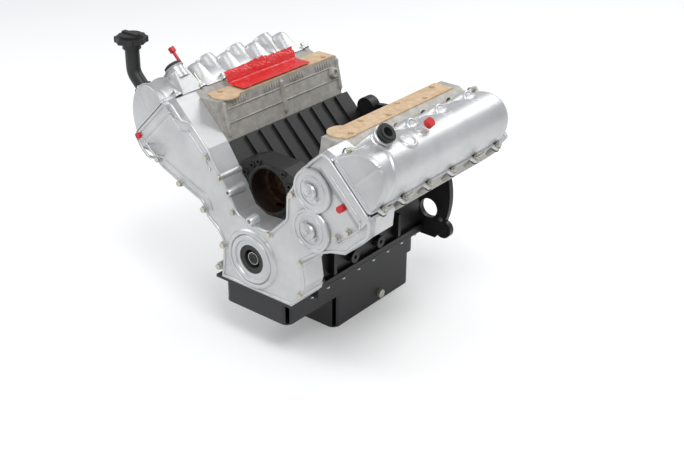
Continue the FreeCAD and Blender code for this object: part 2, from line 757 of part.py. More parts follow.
def leaned(shape, at, lean):
    """A shape drawn up +Z from the origin, leaned in its bank's plane and moved to its seat."""
    shape.Placement = Placement(at, Rotation(Vector(0, 1, 0), lean))
    return shape


def cam_lobe(y, width, angle):
    """An egg-shaped lobe: base circle, small nose circle and the tangent flanks between."""
    base, nose, lift = 15, 7, 14
    axis = Vector(0, 1, 0)
    root = Part.makeCylinder(base, width, Vector(0, y - width / 2, 0), axis)
    tip = Part.makeCylinder(nose, width, Vector(0, y - width / 2, lift), axis)
    slope = math.asin((base - nose) / lift)
    side_x, side_z = math.cos(slope), math.sin(slope)
    corners = [(base * side_x, base * side_z), (nose * side_x, lift + nose * side_z),
               (-nose * side_x, lift + nose * side_z), (-base * side_x, base * side_z)]
    flank = Part.makePolygon([Vector(x, y - width / 2, z) for x, z in corners + corners[:1]])
    lobe = root.multiFuse([tip, Part.Face(flank).extrude(Vector(0, width, 0))])
    lobe.Placement = Placement(Vector(), Rotation(Vector(0, 1, 0), angle))
    return lobe


def camshaft(side):
    """Shaft, five journals, three lobes a cylinder and the nose that carries the phaser."""
    axis = Vector(0, 1, 0)
    start = -value(side_name(side) + "_chain") - 8
    end = tower_places(side)[-1] + 8
    pieces = [Part.makeCylinder(10.5, end - start, Vector(0, start, 0), axis)]
    for y in tower_places(side):
        pieces.append(Part.makeCylinder(value("cam_journal / 2"), 16, Vector(0, y - 8, 0), axis))
    for index in range(4):
        y = value(first_bore(side)) + index * value("bore_pitch")
        turn = 45 * side * (index - 1.5) / 1.5
        pieces.append(cam_lobe(y, 11, turn - 30 * side))
        pieces.append(cam_lobe(y - VALVE_SPREAD, 11, turn + 30 * side))
        pieces.append(cam_lobe(y + VALVE_SPREAD, 11, turn + 30 * side))
    shaft = pieces[0].multiFuse(pieces[1:])
    shaft.translate(Vector(value("cam_out") * side, 0, value("cam_axis")))
    return shaft


def cam_phaser(side):
    """Sprocket with the phaser housing bolted behind it and the centre bolt's head in front."""
    plane = -value(side_name(side) + "_chain")
    axis = Vector(0, 1, 0)
    disc = toothed_disc(2 * CRANK_TEETH, CAM_PITCH, 2.6, 6, plane - 3, 10.5)
    housing = Part.makeCylinder(39, -plane - 6, Vector(0, plane + 3, 0), axis)
    plate = Part.makeCylinder(33, 5, Vector(0, plane - 8, 0), axis)
    bolt = Part.makeCylinder(12, 6, Vector(0, plane - 14, 0), axis)
    bore = Part.makeCylinder(10.5, 60, Vector(0, plane - 8, 0), axis)
    screws = [Part.makeCylinder(4, 3, Vector(25 * math.sin(angle), plane - 11, 25 * math.cos(angle)),
                                axis) for angle in (0.4, 1.97, 3.54, 5.11)]
    whole = disc.multiFuse([housing, plate]).cut(bore)
    whole = whole.multiFuse([bolt, *screws])
    whole.translate(Vector(value("cam_out") * side, 0, value("cam_axis")))
    return whole


def cam_caps():
    """The upper halves of the cam bearings, each with its two screws."""
    sides = []
    for side in (RIGHT, LEFT):
        out, axis = value("cam_out") * side, value("cam_axis")
        tunnel = Part.makeCylinder(value("cam_journal / 2 + running_gap"), 600,
                                   Vector(out, -40, axis), Vector(0, 1, 0))
        caps = []
        for y in tower_places(side):
            block = Part.makeBox(42, 17, 12, Vector(out - 21, y - 8.5, axis + 0.1))
            arch = Part.makeCylinder(17.5, 17, Vector(out, y - 8.5, axis), Vector(0, 1, 0))
            arch = arch.common(Part.makeBox(60, 20, 30, Vector(out - 30, y - 10, axis + 0.1)))
            caps.append(block.fuse(arch).cut(tunnel))
            caps.extend(Part.makeCylinder(3.4, 5, Vector(out + x, y, axis + 12.1))
                        for x in (-17.4, 17.4))
        sides.append(leaned(Part.makeCompound(caps), Vector(), 45 * side))
    return Part.makeCompound(sides)


def each_valve(kind):
    """Side, seat, lean and head radius of every intake or exhaust valve."""
    for side in (RIGHT, LEFT):
        for index in range(4):
            y = value(first_bore(side)) + index * value("bore_pitch")
            seats = valve_seats(side, y)
            for seat_at, lean, radius in (seats[:2] if kind == "intake" else seats[2:]):
                yield side, seat_at, lean, radius


def valves(kind):
    pieces = {RIGHT: [], LEFT: []}
    for side, seat_at, lean, radius in each_valve(kind):
        disc = Part.makeCylinder(radius, 2.2, Vector(0, 0, -2.6))
        tulip = Part.makeCone(radius - 2, 3.5, 9, Vector(0, 0, -0.4))
        stem = Part.makeCylinder(3.5, 107)
        pieces[side].append(leaned(disc.multiFuse([tulip, stem]), seat_at, lean))
    return both_banks(pieces)


def both_banks(pieces):
    """Pieces drawn in each bank's own axes, leaned over to their banks."""
    return Part.makeCompound([leaned(Part.makeCompound(pieces[side]), Vector(), 45 * side)
                              for side in (RIGHT, LEFT)])


def valve_springs():
    """A spring and its retainer round every stem."""
    pieces = {RIGHT: [], LEFT: []}
    for kind in ("intake", "exhaust"):
        for side, seat_at, lean, radius in each_valve(kind):
            spring = Part.makeCylinder(11.2, 21, Vector(0, 0, 77.5)).cut(
                Part.makeCylinder(8.6, 21, Vector(0, 0, 77.5)))
            retainer = Part.makeCone(11.2, 9, 3, Vector(0, 0, 98.6)).cut(
                Part.makeCylinder(3.6, 3, Vector(0, 0, 98.6)))
            pieces[side].append(leaned(Part.makeCompound([spring, retainer]), seat_at, lean))
    return both_banks(pieces)


def follower(y, pivot, roller, tip, low, high):
    """A roller finger follower: slotted arm, roller on its axle, and the lash adjuster's post."""
    width = 13
    start, end = min(pivot, tip) - 5, max(pivot, tip) + 5
    arm = Part.makeBox(end - start, width, 8, Vector(start, y - width / 2, low))
    slot = Part.makeBox(19, 8.4, 40, Vector(roller - 9.5, y - 4.2, low - 5))
    axle = Part.makeCylinder(2.8, width, Vector(roller, y - width / 2, high), Vector(0, 1, 0))
    cheeks = Part.makeCylinder(7.5, width, Vector(roller, y - width / 2, high), Vector(0, 1, 0))
    arm = arm.fuse(cheeks).cut(slot).fuse(axle)
    wheel = Part.makeCylinder(8.5, 7.8, Vector(roller, y - 3.9, high), Vector(0, 1, 0)).cut(
        Part.makeCylinder(2.85, 7.8, Vector(roller, y - 3.9, high), Vector(0, 1, 0)))
    post = Part.makeCylinder(6, low - 345.2, Vector(pivot, y, 345.1))
    return [arm, wheel, post]


def cam_followers():
    pieces = {RIGHT: [], LEFT: []}
    reach = 24.6 / math.sqrt(2)
    for kind in ("intake", "exhaust"):
        for side, seat_at, lean, radius in each_valve(kind):
            out = value("cam_out")
            tip = (seat_at.x * side) + 107 * math.sin(math.radians(lean * side))
            top = seat_at.z + 107 * math.cos(math.radians(lean)) + 3.5 * abs(
                math.sin(math.radians(lean))) + 0.2
            if kind == "intake":
                roller, pivot = out - reach, out + 4
            else:
                roller, pivot = out + reach, out - 8
            pieces[side].extend(follower(seat_at.y, pivot * side, roller * side, tip * side,
                                         top, value("cam_axis") - reach))
    return both_banks(pieces)


STRAND_BEND = 900


def strand(side, hand):
    """A chain strand as a shallow arc that its guide presses inwards, in its bank's axes.

    The arc's circle touches both pitch circles from outside. Returned are its centre and its
    directions from that centre to the crank's sprocket, its middle and the cam's sprocket.
    """
    top = Vector(value("cam_out") * side, 0, value("cam_axis"))
    along = Vector(top).normalize()
    across = Vector(along.z, 0, -along.x) * hand
    low_reach, high_reach = STRAND_BEND + CRANK_PITCH, STRAND_BEND + CAM_PITCH
    run = (low_reach ** 2 - high_reach ** 2 + top.Length ** 2) / (2 * top.Length)
    centre = along * run + across * math.sqrt(low_reach ** 2 - run ** 2)
    low = (-centre).normalize()
    high = (top - centre).normalize()
    return centre, low, (low + high).normalize(), high


def strand_point(side, hand, share, out):
    """A point along a strand, share 0 to 1 from the crank up, moved out of the chain's loop."""
    centre, low, middle, high = strand(side, hand)
    turn = Rotation(low, high)
    step = Rotation(turn.Axis, math.degrees(turn.Angle) * share)
    return centre + step.multVec(low) * (STRAND_BEND - out)


def loop_face(side, out, plane):
    """The face inside a chain's loop, its edge moved outwards from the pitch line."""
    top = Vector(value("cam_out") * side, 0, value("cam_axis"))
    along = Vector(top).normalize()
    ahead = Vector(0, plane, 0)
    ends = {}
    edges = []
    for hand in (1, -1):
        marks = [strand_point(side, hand, share, out) + ahead for share in (0, 0.5, 1)]
        ends[hand] = marks
        edges.append(Part.Arc(*marks).toShape())
    crest = top + along * (CAM_PITCH + out) + ahead
    heel = ahead - along * (CRANK_PITCH + out)
    edges.insert(1, Part.Arc(ends[1][2], crest, ends[-1][2]).toShape())
    edges.append(Part.Arc(ends[-1][0], heel, ends[1][0]).toShape())
    return Part.Face(Part.Wire(Part.__sortEdges__(edges)))


def timing_chains():
    """Two roller chains: a pair of plate loops each, with rollers along the free strands."""
    pieces = {RIGHT: [], LEFT: []}
    for side in (RIGHT, LEFT):
        plane = -value(side_name(side) + "_chain")
        loops = [loop_face(side, 3.4, start).cut(loop_face(side, -3.4, start)).extrude(
            Vector(0, 1.4, 0)) for start in (plane - 4.6, plane + 3.2)]
        count = int(value("cam_axis") / 8)
        rollers = [Part.makeCylinder(2.2, 6.6, strand_point(side, hand, index / count, 0)
                                     + Vector(0, plane - 3.3, 0), Vector(0, 1, 0))
                   for hand in (1, -1) for index in range(3, count - 2)]
        pieces[side].append(loops[0].multiFuse([loops[1], *rollers]))
    return both_banks(pieces)


def guide_blade(side, hand, first, last, low, high, width):
    """A curved bar beside a strand, between two shares of its length and two depths outside it."""
    plane = -value(side_name(side) + "_chain") - width / 2
    middle = (first + last) / 2
    near = [strand_point(side, hand, share, low) for share in (first, middle, last)]
    far = [strand_point(side, hand, first, low + 3), strand_point(side, hand, middle, high),
           strand_point(side, hand, last, low + 3)]
    edges = [Part.Arc(*near).toShape(), Part.LineSegment(near[2], far[2]).toShape(),
             Part.Arc(*reversed(far)).toShape(), Part.LineSegment(far[0], near[0]).toShape()]
    face = Part.Face(Part.Wire(edges))
    face.translate(Vector(0, plane, 0))
    return face.extrude(Vector(0, width, 0))


def chain_guides():
    """Each chain's fixed guide, its tensioner arm and pivot, and the tensioner behind the arm."""
    pieces = {RIGHT: [], LEFT: []}
    for side in (RIGHT, LEFT):
        plane = -value(side_name(side) + "_chain")
        for hand in (1, -1):
            depth = 9 if hand == side else 13
            pieces[side].append(guide_blade(side, hand, 0.38, 0.8, 3.7, depth, 11))
        for share, out, size in ((0.42, 13, 4), (0.76, 13, 4)):
            foot = strand_point(side, side, share, out)
            pieces[side].append(Part.makeCylinder(size, -plane + 4, foot + Vector(0, plane - 4.1, 0),
                                                  Vector(0, 1, 0)))
        push = strand_point(side, -side, 0.6, 22)
        pieces[side].append(Part.makeCylinder(8, -plane + 8, push + Vector(0, plane - 8.1, 0),
                                              Vector(0, 1, 0)))
    return both_banks(pieces)


# ---------------------------------------------------------------- oil pump, pickup, tray and pan

def rotor_outline(lobes, eccentric, shrink, plane, phase):
    """Closed gerotor profile: epicycloid tips and hypocycloid roots on one pitch circle.

    A circle half the eccentricity in radius rolls outside, then inside, the pitch circle.
    """
    pitch = lobes * eccentric
    roll = eccentric / 2
    points = []
    steps = 6
    for lobe in range(lobes):
        for part, sign in ((0, 1), (1, -1)):
            start = 2 * math.pi * (lobe + part / 2 + phase) / lobes
            for step in range(steps):
                angle = start + math.pi / lobes * step / steps
                rolled = (angle - start) * pitch / roll
                centre = pitch + sign * roll
                spin = angle + sign * rolled + (math.pi if sign > 0 else 0)
                x = centre * math.cos(angle) + roll * math.cos(spin)
                z = centre * math.sin(angle) + roll * math.sin(spin)
                share = 1 - shrink / pitch
                points.append(Vector(x * share, plane, z * share))
    return Part.Face(Part.makePolygon(points + points[:1]))


ROTOR_LOBES = 8
ROTOR_OFFSET = 4
PUMP_DEPTH = 13


def oil_pump_inner_rotor():
    face = rotor_outline(ROTOR_LOBES, ROTOR_OFFSET, 0.3, -11.5, 0)
    hub = Part.makeCylinder(19.05, 20, Vector(0, -16, 0), Vector(0, 1, 0))
    return feature("oil_pump_inner_rotor", face.extrude(Vector(0, 10, 0)).cut(hub))


def oil_pump_outer_rotor():
    ring = Part.makeCylinder(46, 10, Vector(0, -11.5, 0), Vector(0, 1, 0))
    face = rotor_outline(ROTOR_LOBES + 1, ROTOR_OFFSET, -0.1, -12, 0.5)
    rotor = ring.cut(face.extrude(Vector(0, 12, 0)))
    rotor.translate(Vector(ROTOR_OFFSET, 0, 0))
    return feature("oil_pump_outer_rotor", rotor)


def oil_pump_housing():
    """Two plates round the gerotor's pocket, with the pickup's boss below."""
    blank = cylinder("pump_body", 54, PUMP_DEPTH, (ROTOR_OFFSET, -PUMP_DEPTH - 0.2, 0), "Y")
    boss = box("pump_boss", (30, PUMP_DEPTH, 34), (-52, -PUMP_DEPTH - 0.2, -64))
    pocket = cylinder("pump_pocket", 46.1, 11, (ROTOR_OFFSET, -11.9, 0), "Y")
    hole = cylinder("pump_shaft_hole", 20, 40, (0, -20, 0), "Y")
    return cut("oil_pump_housing", fuse("pump_blank", [blank, boss]), [pocket, hole])


def tube_path(points, bend):
    """Straight runs joined by tangent arcs of one radius."""
    edges = []
    start = points[0]
    for before, corner, after in zip(points, points[1:], points[2:]):
        back = (before - corner).normalize()
        ahead = (after - corner).normalize()
        half = back.getAngle(ahead) / 2
        run = bend / math.tan(half)
        first, last = corner + back * run, corner + ahead * run
        middle = (back + ahead).normalize()
        apex = corner + middle * (bend / math.sin(half) - bend)
        edges.append(Part.LineSegment(start, first).toShape())
        edges.append(Part.Arc(first, apex, last).toShape())
        start = last
    edges.append(Part.LineSegment(start, points[-1]).toShape())
    return Part.Wire(edges)


def tube(points, bend, outer, inner):
    path = tube_path(points, bend)
    along = (points[1] - points[0]).normalize()
    walls = [path.makePipe(Part.Face(Part.Wire(Part.makeCircle(radius, points[0], along))))
             for radius in (outer, inner)]
    return walls[0].cut(walls[1])


def oil_pickup():
    """The pipe from the pump down under the tray to a strainer in the sump."""
    points = [Vector(-37, -6, -65), Vector(-37, -6, -122), Vector(-20, 150, -125),
              Vector(0, 250, -170), Vector(0, 250, -212)]
    pipe = tube(points, 22, 9, 7)
    bell = Part.makeCone(34, 12, 14, Vector(0, 250, -224)).cut(
        Part.makeCone(32, 8, 14, Vector(0, 250, -226)))
    return feature("oil_pickup", pipe.fuse(bell))


def windage_tray():
    """A curved sheet under the crank, on posts from the main cap bolts."""
    radius = value("tray_radius")
    start, length = 30, value("block_length") - 60
    shell = Part.makeCylinder(radius + 1.5, length, Vector(0, start, 0), Vector(0, 1, 0)).cut(
        Part.makeCylinder(radius, length, Vector(0, start, 0), Vector(0, 1, 0)))
    keep = Part.makeBox(150, length, 60, Vector(-75, start, -130))
    sheet_metal = shell.common(keep)
    posts = []
    for index in (1, 2, 3):
        for x in (-50, 50):
            y = value("main_one") + index * value("bore_pitch")
            foot = -math.sqrt(radius ** 2 - 50 ** 2)
            posts.append(Part.makeCylinder(6, -71.1 - foot + 4, Vector(x, y, foot - 4)))
    slots = [Part.makeBox(60, 30, 40, Vector(-30, value("main_one") + 35 + 100 * index, -120))
             for index in range(4)]
    return feature("windage_tray", sheet_metal.multiFuse(posts).cut(Part.makeCompound(slots)))


def pan_rectangle(body, name, half_width, start, end, height):
    """A rectangle bound to the sheet on a body's XY plane at a height."""
    sketch = body.newObject("Sketcher::SketchObject", name)
    plane = [item for item in body.Origin.OriginFeatures if item.Role == "XY_Plane"][0]
    sketch.AttachmentSupport = [(plane, "")]
    sketch.MapMode = "FlatFace"
    bind(sketch, "AttachmentOffset.Base.z", height)
    bind_outline(sketch, [(half_width, start), (half_width, end), ("-(%s)" % half_width, end),
                          ("-(%s)" % half_width, start)])
    return sketch


def pad(body, name, sketch, length):
    thing = body.newObject("PartDesign::Pad", name)
    thing.Profile = sketch
    bind(thing, "Length", length)
    thing.Reversed = True
    return thing


def pocket(body, name, sketch, length):
    thing = body.newObject("PartDesign::Pocket", name)
    thing.Profile = sketch
    bind(thing, "Length", length)
    return thing


def oil_pan():
    """A pressed pan: rail flange, shallow front, deep rear sump, hollow inside."""
    body = doc.addObject("PartDesign::Body", "oil_pan")
    rail = "-rail_drop - 1"
    pad(body, "pan_flange", pan_rectangle(body, "pan_flange_line", "skirt_half + 11", "-front_face",
                                          "block_length - bell_plate - 0.5", rail), 7)
    pad(body, "pan_shallow", pan_rectangle(body, "pan_shallow_line", "skirt_half - 8", "-front_face + 6",
                                           "block_length - 22", rail), 64)
    pad(body, "pan_sump", pan_rectangle(body, "pan_sump_line", "skirt_half - 14", 120,
                                        "block_length - 30", rail), "sump_floor - rail_drop - 1")
    doc.recompute()
    tub = body.Tip
    corners = edges_where(tub.Shape, lambda edge: upright(edge) and edge.BoundBox.ZLength > 20)
    rounds = body.newObject("PartDesign::Fillet", "pan_corners")
    rounds.Base = (tub, corners)
    rounds.Radius = 20
    body.Tip = rounds
    pocket(body, "pan_inside", pan_rectangle(body, "pan_inside_line", "skirt_half - 11", "-front_face + 9",
                                             "block_length - 25", rail), 61)
    pocket(body, "pan_sump_inside", pan_rectangle(body, "pan_sump_inside_line", "skirt_half - 17", 123,
                                                  "block_length - 33", rail),
           "sump_floor - rail_drop - 4")
    return body


def upright(edge):
    return edge.BoundBox.XLength < 0.01 and edge.BoundBox.YLength < 0.01


def edges_where(shape, test):
    return ["Edge%d" % number for number, edge in enumerate(shape.Edges, start=1) if test(edge)]


def oil_pan_fasteners():
    """Screws up through the pan's flange, and the drain plug low on the sump's side."""
    pieces = []
    for side in (1, -1):
        for index in range(8):
            head = cylinder("pan_screw", 5.5, 5, ("%d * (skirt_half + 4)" % side, 14 + 58 * index,
                                                  "-rail_drop - 13.1"))
            pieces.append(head)
    plug = cylinder("drain_plug", 11, 9, ("skirt_half - 13.9", 300, "-sump_floor + 22"), "X")
    return group("oil_pan_fasteners", pieces + [plug])


# ---------------------------------------------------------------- front cover

FRONT_OUTLINE = [
    (-100, "-rail_drop"), (-92, -20), (-92, 20), (-108, 42), (-140, 64), (-154, 98), (-215, 120),
    (-285, 148), (-334, 190), (-352, 219), (-246, 325), (-222, 335), (-126, 239), (-64, 147),
    (-40, 106), (-6, 90), (58, 90), (106, 138), (108, 192), (127, 224), (150, 250), (150, 270), (222, 335),
    (246, 325), (352, 219), (348, 176), (296, 130), (272, 105), (232, 96), (196, 80), (152, 46),
    (160, -14), (148, -52), (118, "-rail_drop"),
]


def leg_top(side, grow):
    """The thick top of a leg: level under the cam cover, falling back to the face below it."""
    low, high = value("cover_plane") - 70, value("cover_plane") + (0 if grow == 0 else 2)
    front = value("cover_front") - grow
    corners = [(0, low - 20), (-value("front_face") + 4 + grow, low + grow), (-front, low + 34 + grow),
               (-front, high), (0, high)]
    face = Part.Face(Part.makePolygon([Vector(0, y, z) for y, z in corners + corners[:1]]))
    inner = -value("cover_inner") - 6 + grow
    outer = value("cover_outer") + 10 - grow
    wedge = face.extrude(Vector(outer - inner, 0, 0))
    wedge.translate(Vector(inner if side == RIGHT else -outer, 0, 0))
    wedge.Placement = Placement(Vector(), Rotation(Vector(0, 1, 0), 45 * side)) * wedge.Placement
    return Part.makeCompound([wedge])


def front_cover():
    """The timing cover: one wall ahead of the chains, closed round its edge, open at the seal."""
    line = outline("front_cover_line", FRONT_OUTLINE)
    solids = [extrude("front_cover_body", line, "-front_face", "front_face")]
    solids += [feature("leg_top", leg_top(side, 0)) for side in (RIGHT, LEFT)]
    solids.append(cylinder("seal_boss", "seal_outer / 2 + 13", 9, (0, "-front_face - 3", 0), "Y"))
    for x, z in ((184, 230), (180, 134)):
        solids.append(cylinder("round_pad", 50, 8, (x, "-front_face - 5", z), "Y"))
        solids.append(cylinder("pad_boss", 15, 8, (x - 4, "-front_face - 10", z - 2), "Y"))
    for x, z in COVER_BOLTS:
        solids.append(cylinder("bolt_boss", 9.5, "front_face + 3", (x, "-front_face - 3", z), "Y"))
    tools = [extrude("front_cover_inside", inset("front_cover_inset", line, "front_wall"),
                     "-front_face + front_wall", "front_face")]
    tools += [feature("leg_inside", leg_top(side, value("front_wall"))) for side in (RIGHT, LEFT)]
    tools.append(cylinder("seal_bore", "seal_outer / 2", 40, (0, "-front_face - 20", 0), "Y"))
    for x, z in COVER_BOLTS:
        tools.append(cylinder("bolt_hole", 4.5, 120, (x, "-front_face - 20", z), "Y"))
    for x, z in LEG_HOLES:
        tools.append(cylinder("leg_hole", 8, 60, (x, -110, z), "Y"))
    tools.append(box("cover_foot", (188, "front_face - front_wall + 10", 30),
                     (-86, "-front_face + front_wall", "-rail_drop - 20")))
    for side in (RIGHT, LEFT):
        tools.append(turned("cover_screw_taps", side, [
            cylinder("cover_screw_tap", 3.1, 20, (x, y, "cover_plane - 17"))
            for x, y in cover_screws(side) if y < 0]))
    return cut("front_cover", fuse("front_cover_solids", solids), tools)


def front_cover_bolts():
    pieces = []
    for x, z in COVER_BOLTS:
        head = cylinder("cover_bolt_head", 7, 7, (x, "-front_face - 10.1", z), "Y")
        shank = cylinder("cover_bolt_shank", 4, "front_face + 14", (x, "-front_face - 4", z), "Y")
        pieces.append(fuse("cover_bolt", [head, shank]))
    return group("front_cover_bolts", pieces)


# ---------------------------------------------------------------- cam covers

FLANGE = "cover_plane + cover_gasket"
COVER_WALL = 5
COVER_ARCH = [(-44, 0), (-41, 40), (-30, 66), (-6, 76), (26, 74), (52, 56), (70, 24), (76, 0)]


def bank_box(name, side, low, high):
    """A box between two corners given as out, along and up in a bank's own axes."""
    start = low[0] if side == RIGHT else "-(%s)" % high[0]
    size = ["%s - (%s)" % (top, bottom) for top, bottom in zip(high, low)]
    return box(name, size, (start, low[1], low[2]))


def arch(name, side, depth):
    """The cover's arch across its bank, each point moved inwards by a depth, its feet level."""
    centre = 16
    share = 1 - depth / 60
    return outline(name, [((centre + (out - centre) * share) * side,
                           "%s + %r" % (FLANGE, up * (1 - depth / 76))) for out, up in COVER_ARCH])


def slope(name, low, start, rise):
    """A big block above a plane that climbs towards the back, to cut a sloping top."""
    thing = box(name, (300, 150, 120), (0, 0, 0))
    run = math.atan2(rise, 71)
    thing.Placement = Placement(Vector(-150, start - 20, low - 20 * math.tan(run)),
                                Rotation(Vector(1, 0, 0), math.degrees(run)))
    return thing


def cover_end(side):
    return 438 if side == RIGHT else 424


def cam_cover(side):
    """A cast cover: flange with lugs, long arch, lower front box with a sloping face, open below."""
    name = side_name(side)
    end = cover_end(side)
    plane = value(FLANGE)
    flange = bank_box(name + "_flange", side, ("-cover_inner", "-cover_front", FLANGE),
                      ("cover_outer", end + 6, FLANGE + " + 8"))
    lugs = [cylinder(name + "_lug", 11, 8, (x, y, FLANGE)) for x, y in cover_screws(side)]
    solids = [flange, *lugs]
    tools = []
    for part, start, stop, depth in (("barrel", 30, end, 0), ("band", -8, 31, 3),
                                     ("nose", -76, -7, 5)):
        solid = extrude("%s_%s" % (name, part), arch("%s_%s_arch" % (name, part), side, depth),
                        start, stop - start)
        inner = extrude("%s_%s_space" % (name, part),
                        arch("%s_%s_inner" % (name, part), side, depth + COVER_WALL),
                        start - COVER_WALL if part != "nose" else start + COVER_WALL,
                        stop - start + (0 if part == "barrel" else 1))
        if part == "nose":
            solid = cut(name + "_nose_sloped", solid, [slope(name + "_slope", plane + 27, -76, 44)])
            inner = cut(name + "_nose_hollow", inner,
                        [slope(name + "_slope_inner", plane + 21, -76, 44)])
        solids.append(solid)
        tools.append(inner)
    solids += cover_towers(side)
    tools += cover_holes(side)
    tools.append(bank_box(name + "_mouth", side, (-36, -70, "cover_plane"),
                          (66, end - 7, FLANGE + " + 6")))
    tools += [cylinder(name + "_screw_hole", 3.3, 30, (x, y, "cover_plane"))
              for x, y in cover_screws(side)]
    return cut(name + "_cam_cover", fuse(name + "_cover_solids", solids), tools)


def coil_wells(side):
    """Centres of the four coil wells on a cover, in its bank's axes."""
    return [(-31 * side, value(first_bore(side)) + index * value("bore_pitch") + 14)
            for index in range(4)]


def cover_towers(side):
    """What stands on the arch: coil wells, the variable timing connector's collar, the filler neck."""
    name = side_name(side)
    towers = [cylinder(name + "_coil_tower", 23, 58, (x, y, "cover_plane + 10"))
              for x, y in coil_wells(side)]
    towers.append(cylinder(name + "_connector_collar", 24, 66,
                           (-VCT_OUT * side, VCT_ALONG, "cover_plane + 10")))
    if side == LEFT:
        towers.append(cylinder("filler_neck", 27, 72, (FILLER_OUT * side, FILLER_ALONG,
                                                      "cover_plane + 4")))
        towers += [cylinder("cover_hump", 26, 70, (-8 * side, y, "cover_plane + 20"))
                   for y in (142, 244, 346)]
    return towers


def cover_holes(side):
    name = side_name(side)
    holes = [cylinder(name + "_coil_well", 15, 100, (x, y, "cover_plane - 2"))
             for x, y in coil_wells(side)]
    holes.append(cylinder(name + "_connector_bore", 17, 100,
                          (-VCT_OUT * side, VCT_ALONG, "cover_plane - 2")))
    if side == LEFT:
        holes.append(cylinder("filler_bore", FILLER_BORE, 100, (FILLER_OUT * side, FILLER_ALONG,
                                                                "cover_plane - 2")))
    return holes


def cam_cover_gaskets():
    sides = []
    for side in (RIGHT, LEFT):
        name = side_name(side)
        ring = bank_box(name + "_gasket_sheet", side, ("-cover_inner", "-cover_front", "cover_plane"),
                        ("cover_outer", cover_end(side) + 6, FLANGE))
        lugs = [cylinder(name + "_gasket_lug", 11, "cover_gasket", (x, y, "cover_plane"))
                for x, y in cover_screws(side)]
        space = bank_box(name + "_gasket_space", side, ("-cover_inner + 7", "-cover_front + 7",
                                                        "cover_plane - 1"),
                         ("cover_outer - 7", cover_end(side) - 1, FLANGE + " + 1"))
        holes = [cylinder(name + "_gasket_hole", 3.4, 6, (x, y, "cover_plane - 2"))
                 for x, y in cover_screws(side)]
        sheet_cut = cut(name + "_gasket", fuse(name + "_gasket_solids", [ring, *lugs]),
                        [space, *holes])
        sides.append(turned(name + "_gasket_turned", side, [sheet_cut]))
    return group("cam_cover_gaskets", sides)


def cam_cover_bolts():
    """Flanged screws round both covers; every third one carries a long stud."""
    sides = []
    for side in (RIGHT, LEFT):
        pieces = []
        for index, (x, y) in enumerate(cover_screws(side)):
            washer = cylinder("cover_screw_flange", 7.5, 2, (x, y, FLANGE + " + 8.1"))
            head = cylinder("cover_screw_head", 5, 7, (x, y, FLANGE + " + 10"))
            shank = cylinder("cover_screw_shank", 3, 22, (x, y, FLANGE + " - 13.5"))
            parts = [washer, head, shank]
            if index % 3 == 1:
                parts.append(cylinder("cover_stud", 3, 24, (x, y, FLANGE + " + 16")))
            pieces.append(fuse("cover_screw", parts))
        sides.append(turned(side_name(side) + "_cover_screws", side, pieces))
    return group("cam_cover_bolts", sides)


def vct_connector_seals():
    """The rubber seals that stand in both collars, open for the connectors."""
    sides = []
    for side in (RIGHT, LEFT):
        name = side_name(side)
        at = (-VCT_OUT * side, VCT_ALONG, "cover_plane + 60")
        outer = cylinder(name + "_seal_body", 16.9, 24, at)
        lip = cylinder(name + "_seal_lip", 22, 5, (at[0], at[1], "cover_plane + 76.1"))
        hole = cylinder(name + "_seal_hole", 11, 60, (at[0], at[1], "cover_plane + 50"))
        sides.append(turned(name + "_seal_turned", side,
                            [cut(name + "_seal", fuse(name + "_seal_solids", [outer, lip]), [hole])]))
    return group("vct_connector_seals", sides)


# ---------------------------------------------------------------- oil filler, plugs and port covers

def filler_line():
    """The filler's centre line: out of the neck along the bank, then straight up."""
    def at(up):
        out = FILLER_OUT
        return Vector(-(up + out) / math.sqrt(2), FILLER_ALONG, (up - out) / math.sqrt(2))
    corner = at(530)
    return [at(466), corner, corner + Vector(0, 0, 74)]


def oil_filler_tube():
    line = filler_line()
    pipe = tube(line, 34, 17, 14)
    lean = Rotation(Vector(0, 1, 0), -45)
    collar = Part.makeCylinder(22, 9).cut(Part.makeCylinder(16, 9))
    along = (line[1] - line[0]).normalize()
    collar = leaned(collar, line[0] + along * 15, -45)
    mouth = Part.makeCylinder(22, 14, line[2] - Vector(0, 0, 14)).cut(
        Part.makeCylinder(14, 14, line[2] - Vector(0, 0, 14)))
    return feature("oil_filler_tube", pipe.multiFuse([collar, mouth]))


def oil_cap_seal():
    top = filler_line()[2]
    ring = Part.makeCylinder(21, 2, top + Vector(0, 0, 0.1)).cut(
        Part.makeCylinder(14.4, 2, top + Vector(0, 0, 0.1)))
    return feature("oil_cap_seal", ring)


def oil_filler_cap():
    """A lobed cap with a stepped top, a grip bar and a plug that reaches into the tube."""
    top = filler_line()[2] + Vector(0, 0, 2.2)
    rim = Part.makeCylinder(36, 12, top)
    lobes = [Part.makeCylinder(9, 12, top + Vector(31 * math.cos(turn), 31 * math.sin(turn), 0))
             for turn in (math.pi * index / 4 for index in range(8))]
    crown = Part.makeCylinder(27, 6, top + Vector(0, 0, 12))
    grip = Part.makeBox(50, 12, 10, top + Vector(-25, -6, 12))
    plug = Part.makeCylinder(13, 16, top - Vector(0, 0, 16))
    return feature("oil_filler_cap", rim.multiFuse([*lobes, crown, grip, plug]))


def core_plugs():
    """Cup plugs pressed into the outer wall of each bank."""
    sides = []
    for side in (RIGHT, LEFT):
        cups = []
        for index in range(3):
            y = value(first_bore(side)) + (index + 0.5) * value("bore_pitch")
            start = value("bank_outer") - 6
            cup = Part.makeCylinder(17.9, 7, Vector(start * side, y, 196), Vector(side, 0, 0))
            inside = Part.makeCylinder(15.5, 6, Vector((start + 1.5) * side, y, 196),
                                       Vector(side, 0, 0))
            cups.append(cup.cut(inside))
        sides.append(leaned(Part.makeCompound(cups), Vector(), 45 * side))
    return feature("core_plugs", Part.makeCompound(sides))


